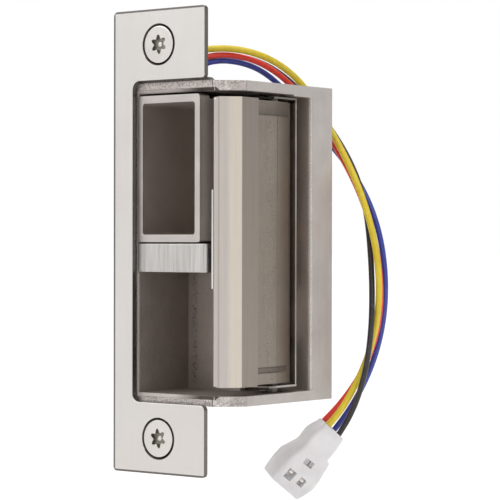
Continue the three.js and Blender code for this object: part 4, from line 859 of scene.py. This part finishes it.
def make_faceplate_screw(name, s, turn):
    t = math.tan(math.radians(41))
    head = lathe(name, [(0, -1.56), (4.55, -1.56), (4.92, -1.50), (5.06, -1.36), (5.06, -1.22), (5.10 - 2.6 * t, 1.02),
                        (2.45, 1.3), (2.45, 2.0), (0, 2.0)], (0, 0, s * 52.4), "Y", 112)
    rec = star("rec", s * 52.4, 2.62, 1.62, -3.0, -0.70, turn)
    pin = lathe("pin", [(0, -1.05), (0.50, -1.05), (0.74, -0.88), (0.74, 1.0), (0, 1.0)], (0, 0, s * 52.4), "Y", 40)
    boolean(rec, pin)
    boolean(head, rec)
    soften(head, 0.08, 2, 30.0)

    # rolled thread, 24 to the inch
    pitch, r0, r1 = 25.4 / 24, 2.12, 2.69
    def radius(r, w, a):
        if r < 2.0 or w < 2.05 or w > 12.3:
            return min(r, 2.6)
        f = (w / pitch - s * a / (2 * math.pi)) % 1.0
        h = min(1.0, max(0.0, 1.25 - 2.5 * abs(f - 0.5)))
        fade = min(1.0, max(0.0, (12.4 - w) / 1.4)) * min(1.0, max(0.25, (w - 1.9) / 0.8))
        return r0 + (r1 - r0) * h * fade
    prof = [(0, 1.9), (2.45, 1.9)] + [(2.6, 2.05 + i * pitch / 12) for i in range(int((12.3 - 2.05) / (pitch / 12)) + 1)] + [(1.75, 12.38), (0, 12.4)]
    shank = lathe(name + "_thread", prof, (0, 0, s * 52.4), "Y", 56, radius)
    smooth(shank, 50.0, False)
    finish_piece(shank, "screw_steel", "frame")
    finish_piece(head, "screw_steel", "frame", "faceplate_screw_top" if s > 0 else "faceplate_screw_bottom")
    rad = lambda c: math.hypot(c.x, c.z - s * 52.4)
    # painted shade: the rim of the head is painted near black for the dark ring in the countersink
    repaint(head, M["screw_edge"], lambda n, c: abs(n.y) < 0.86 and rad(c) > 4.6)
    # painted shade: the recess walls and its floor round the pin are painted dark
    repaint(head, M["screw_recess"], lambda n, c: (0.9 < rad(c) < 2.7 and -1.5 < c.y < 0.4) or (rad(c) < 2.0 and abs(c.y + 0.70) < 0.06))
    return head


make_faceplate()
make_faceplate_screw("security_screw_top", 1, 0.60)
make_faceplate_screw("security_screw_bottom", -1, 0.66)

def copy_of(node, name):
    ob = new_object(name, NODES[node].data.copy())
    ob.data.materials.clear()
    return ob


def make_housing():
    ob = copy_of("housing", "housing_casting")
    boolean(ob, prism("root", [(9.0, 41.0), (17.0, 41.0), (17.0, 42.0), (16.2, 42.45), (15.4, 43.15), (9.0, 43.15)], 0.35, 2.2), "UNION")
    for s, edge in ((-1, -43.25),):
        boolean(ob, block("groove", -11.6, 15.6, 0.1, 1.3, min(edge, s * 43.6), max(edge, s * 43.6)))
    soften(ob, 0.28, 3, 32.0)
    return finish_piece(ob, "cast_housing", "frame", "housing")


def make_keeper():
    ob = copy_of("keeper", "keeper_jaw")
    # the panel behind the front stripe is a little lower
    boolean(ob, prism("panel", [(22.68, 12.5), (24.5, 12.5), (24.5, 21.0), (22.60, 21.0)], -39.5, 39.5, "Z"))
    # the corners of the lead edge are rounded off
    for s, top in ((1, 38.0), (-1, -38.3)):
        y0, r = 0.5, 0.75
        arc = [(y0 + r - r * math.cos(a), top - s * (r - r * math.sin(a))) for a in [math.pi / 2 * k / 8 for k in range(9)]]
        boolean(ob, prism("corner", [(y0 - 1.0, top - s * r)] + arc + [(y0 + r, top + s), (y0 - 1.0, top + s)], 15.0, 22.0, "X"))
    soften(ob, 0.24, 3, 32.0)
    return finish_piece(ob, "keeper_steel", "keeper", "keeper")


make_housing()
from_cad("rear_cover", "rear_cover_sheet", 0.2, 2, 30.0)
make_keeper()
from_cad("keeper_wear_plate", "keeper_wear_strip", 0.1, 2)
from_cad("keeper_hinge_bracket", "hinge_bracket_sheet", 0.12, 2)
from_cad("deadbolt_pocket", "deadbolt_pocket_box", 0.25, 3)
from_cad("deadlatch_block", "deadlatch_block_bar", 0.25, 3)
for n in ("deadlatch_block_screw", "rear_cover_screw_top_left", "rear_cover_screw_top_right", "rear_cover_screw_bottom_left",
          "rear_cover_screw_bottom_right", "solenoid_screw_upper", "solenoid_screw_lower"):
    from_cad(n, n + "_head", 0.08, 2, 30.0)
for n in ("keeper_pivot_pin", "locking_lever_pin", "plunger_link_pin", "pivot_bushing_upper", "pivot_bushing_lower", "solenoid_core",
          "solenoid_frame", "lever_bracket", "plunger", "locking_lever", "solenoid_bobbin", "coil_winding_lower", "coil_winding_upper",
          "wire_grommet"):
    from_cad(n, n + "_piece", 0.15, 2, 30.0)


def make_spring(name, points, radius, node):
    """a wound spring swept along the points"""
    ob = sweep(name, points, radius, 14)
    smooth(ob, 60.0, False)
    ob.data.materials.append(M["spring_steel"])
    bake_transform(ob)
    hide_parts(node)
    return ob


def torsion_points(px, py, r, z0, z1, turns, leg0, leg1, n=420):
    pts = [(px + r, py - leg0 * (1 - k / 6), z0) for k in range(6)]
    for k in range(n + 1):
        a = 2 * math.pi * turns * k / n
        pts.append((px + r * math.cos(a), py + r * math.sin(a), z0 + (z1 - z0) * k / n))
    return pts + [(px - leg1 * (k + 1) / 8, py + r, z1) for k in range(8)]


def compression_points(px, py, r, z0, z1, turns, n=420):
    """helix whose first and last half turn lie flat, as ground ends do"""
    pts = []
    for k in range(n + 1):
        w = turns * k / n
        s = min(1.0, max(0.0, (w - 0.5) / (turns - 1.0)))
        pts.append((px + r * math.cos(2 * math.pi * w), py + r * math.sin(2 * math.pi * w), z0 + (z1 - z0) * s))
    return pts


make_spring("keeper_return_spring_coil", torsion_points(18.0, 25.0, 2.85, -24.6, -16.4, 5.25, 4.6, 6.6), 0.45, "keeper_return_spring")
make_spring("plunger_spring_coil", compression_points(-2.0, 31.6, 4.05, -10.25, -3.38, 4.5), 0.31, "plunger_spring")


# ------------------------------------------------------------------ connector
def place_on_cord(ob):
    """turns a mesh built in the connector's own axes (mm, a across, b towards the latch side, s along) into the row frame"""
    for v in ob.data.vertices:
        v.co = CONN_AT + CONN_A * v.co.x + CONN_B * v.co.y + CONN_AX * v.co.z
    return ob


def loft(name, sections, n=14):
    """rounded rectangles (s, centre a, centre b, half a, half b, corner radius), skinned one to the next"""
    bm = bmesh.new()
    rings = []
    for s, ca, cb, ha, hb, r in sections:
        pts = rounded([(ca - ha, cb - hb, r), (ca + ha, cb - hb, r), (ca + ha, cb + hb, r), (ca - ha, cb + hb, r)], n)
        rings.append([bm.verts.new(Vector((u, v, s)) * MM) for u, v in pts])
    k = len(rings[0])
    for p, q in zip(rings, rings[1:]):
        for i in range(k):
            bm.faces.new((p[i], p[(i + 1) % k], q[(i + 1) % k], q[i]))
    bm.faces.new(rings[0][::-1])
    bm.faces.new(rings[-1])
    return new_object(name, bm)


def make_connector():
    # (along, left half width, right half width, half height)
    key = [(0, 3.35, 3.75, 3.30), (0.3, 3.45, 4.00, 3.50), (1.2, 3.55, 4.10, 3.60), (2.6, 4.05, 4.20, 3.85), (4.4, 4.50, 4.35, 4.05), (6, 4.40, 4.45, 4.10), (7.1, 4.25, 4.45, 4.12), (7.5, 4.20, 4.50, 4.14), (7.9, 4.20, 5.50, 4.16), (9.1, 4.35, 5.75, 4.30), (11.2, 5.00, 5.95, 4.75), (13.3, 5.60, 6.20, 5.25), (15.9, 5.65, 6.45, 5.40), (17.4, 5.55, 6.20, 5.40), (19.6, 5.40, 5.55, 5.20), (20.8, 5.25, 5.10, 5.00), (21.2, 5.05, 4.90, 4.80)]
    sec = [(s, (rt - lf) / 2, 0.0, (rt + lf) / 2, hb, 1.1) for s, lf, rt, hb in key]
    body = loft("connector_housing_piece", sec)
    for a in (-2.1, 2.1):
        for b in (-2.1, 2.1):
            boolean(body, lathe("bore", [(0, -1.0), (1.15, -1.0), (1.15, 6.0), (0, 6.0)], (a, b, 0), "Z", 36))
            boolean(body, block("cell", a - 1.3, a + 1.3, b - 1.3, b + 1.3, 5.0, 30.0))
    boolean(body, prism("win1", [(-3.5, 15.6), (-0.8, 15.6), (-0.8, 18.6), (-3.5, 18.6)], 2.4, 8.0))
    boolean(body, prism("win2", [(0.9, 15.5), (3.0, 15.5), (3.0, 17.9), (0.9, 17.9)], 2.4, 8.0))
    boolean(body, prism("win3", [(-1.5, 10.5), (1.6, 10.5), (1.6, 12.3), (-1.5, 12.3)], 2.9, 8.0))
    soften(body, 0.16, 3, 34.0)
    place_on_cord(body)
    smooth(body, 34.0)
    finish_piece(body, "connector_nylon", "frame", "connector_housing")
    for node, a, b in (("yellow", -2.1, 2.1), ("red", -2.1, -2.1), ("blue", 2.1, -2.1), ("black", 2.1, 2.1)):
        c = block(f"contact_{node}_terminal", a - 1.08, a + 1.08, b - 1.08, b + 1.08, 6.5, 17.6)
        boolean(c, block("inside", a - 0.78, a + 0.78, b - 0.78, b + 0.78, 8.0, 19.0))
        boolean(c, block("slot", a - 0.22, a + 0.22, b + 0.4, b + 2.0, 8.6, 12.2))
        if b > 0:
            # the locking lance stands up into the window of its cell
            lance = prism("lance", [(13.0, b + 0.86), (17.3, b + 0.86), (17.3, b + 1.16), (16.7, 4.55), (16.2, 4.55), (13.0, b + 1.16)], a - 0.62, a + 0.62, "X")
            for v in lance.data.vertices:      # outline is (s, b) across a
                v.co = Vector((v.co.x, v.co.z, v.co.y))
            boolean(c, lance, "UNION")
            for da in (-0.62, 0.62):
                wing = block("wing", a + da - 0.11, a + da + 0.11, b + 0.9, 4.1, 10.7, 12.0)
                boolean(c, wing, "UNION")
        soften(c, 0.06, 2, 30.0)
        place_on_cord(c)
        finish_piece(c, "contact_tin", "frame", f"contact_{node}")


make_connector()


# ------------------------------------------------------------------ cords: their finishes
for n, (ob, start, length, diameter) in WIRES.items():
    ob.data.materials.append(M[f"wire_{n}"])


# ------------------------------------------------------------------ stage and light
def make_floor():
    m = Mat("floor_paper")
    fine, soft = m.noise(1.2, 3.0, 0.6, 1.0), m.noise(160.0, 2.0, 0.5, 2.0)
    m.set(Base_Color=m.mul((0.93, 0.93, 0.93), m.remap(soft, 0.3, 0.7, 0.985, 1.0)), Roughness=0.8, Normal=m.bump(fine, 0.02))
    m.bsdf.inputs["Specular IOR Level"].default_value = 0.1
    bm = bmesh.new()
    z = CAD_BOX[0][2] - 0.012
    ring = [bm.verts.new((14.0 * math.cos(2 * math.pi * k / 64), 14.0 * math.sin(2 * math.pi * k / 64), z)) for k in range(64)]
    bm.faces.new(ring)
    ob = new_object("floor", bm)
    ob.data.materials.append(m.m)


def area(name, direction, distance, size, power, color=(1, 1, 1), height=0.0):
    d = Vector(direction).normalized()
    pos = d * distance + Vector((0.0, 0.02, height))
    la = bpy.data.lights.new(name, "AREA")
    la.shape = "RECTANGLE"
    la.size, la.size_y = size
    la.energy = power
    la.color = color
    ob = bpy.data.objects.new(name, la)
    ob.location = pos
    ob.rotation_euler = (Vector((0.005, 0.02, 0.0)) - pos).to_track_quat("-Z", "Y").to_euler()
    scene.collection.objects.link(ob)
    return ob


# soft studio light: (direction, radiance, inner and outer half angle in degrees) of each softbox on the sky
SOFTBOXES = [
    ((-0.66, -0.74, 0.16), 0.45, 22, 46),    # front left, lights the faceplate
    ((0.80, -0.58, 0.16), 0.75, 16, 38),     # front right, lights the ramp and the bevel
    ((0.72, 0.68, 0.10), 0.36, 12, 34),      # rear right, lights the keeper side
    ((-0.62, 0.70, 0.35), 0.55, 16, 44),     # rear left
    ((0.00, -0.10, 1.0), 1.55, 28, 62),      # overhead
]
AMBIENT = 0.24


def make_world():
    w = bpy.data.worlds.new("studio")
    w.use_nodes = True
    nt = w.node_tree
    nt.nodes.clear()

    def node(kind, **settings):
        n = nt.nodes.new(kind)
        for k, v in settings.items():
            setattr(n, k, v)
        return n

    way = node("ShaderNodeTexCoord").outputs["Generated"]
    total = None
    for d, power, inner, outer in SOFTBOXES:
        dot = node("ShaderNodeVectorMath", operation="DOT_PRODUCT")
        nt.links.new(way, dot.inputs[0])
        dot.inputs[1].default_value = Vector(d).normalized()
        ramp = node("ShaderNodeMapRange", interpolation_type="SMOOTHSTEP")
        nt.links.new(dot.outputs["Value"], ramp.inputs[0])
        for i, v in ((1, math.cos(math.radians(outer))), (2, math.cos(math.radians(inner))), (3, 0.0), (4, power)):
            ramp.inputs[i].default_value = v
        add = node("ShaderNodeMath", operation="ADD")
        add.inputs[0].default_value = AMBIENT
        if total is not None:
            nt.links.new(total, add.inputs[0])
        nt.links.new(ramp.outputs[0], add.inputs[1])
        total = add.outputs[0]
    light = node("ShaderNodeBackground")
    light.inputs["Color"].default_value = (1.0, 0.985, 0.97, 1.0)
    nt.links.new(total, light.inputs["Strength"])
    white = node("ShaderNodeBackground")
    white.inputs["Color"].default_value = (1.0, 1.0, 1.0, 1.0)
    mix = node("ShaderNodeMixShader")
    nt.links.new(node("ShaderNodeLightPath").outputs["Is Camera Ray"], mix.inputs[0])
    nt.links.new(light.outputs[0], mix.inputs[1])
    nt.links.new(white.outputs[0], mix.inputs[2])
    nt.links.new(mix.outputs[0], node("ShaderNodeOutputWorld").inputs["Surface"])
    w.cycles.sampling_method = "MANUAL"
    w.cycles.sample_map_resolution = 512
    scene.world = w


make_floor()
make_world()
area("soft_key", (-0.55, -0.80, 0.55), 1.6, (0.9, 0.9), 4.6)
scene.view_settings.view_transform = "Standard"
scene.view_settings.look = "None"
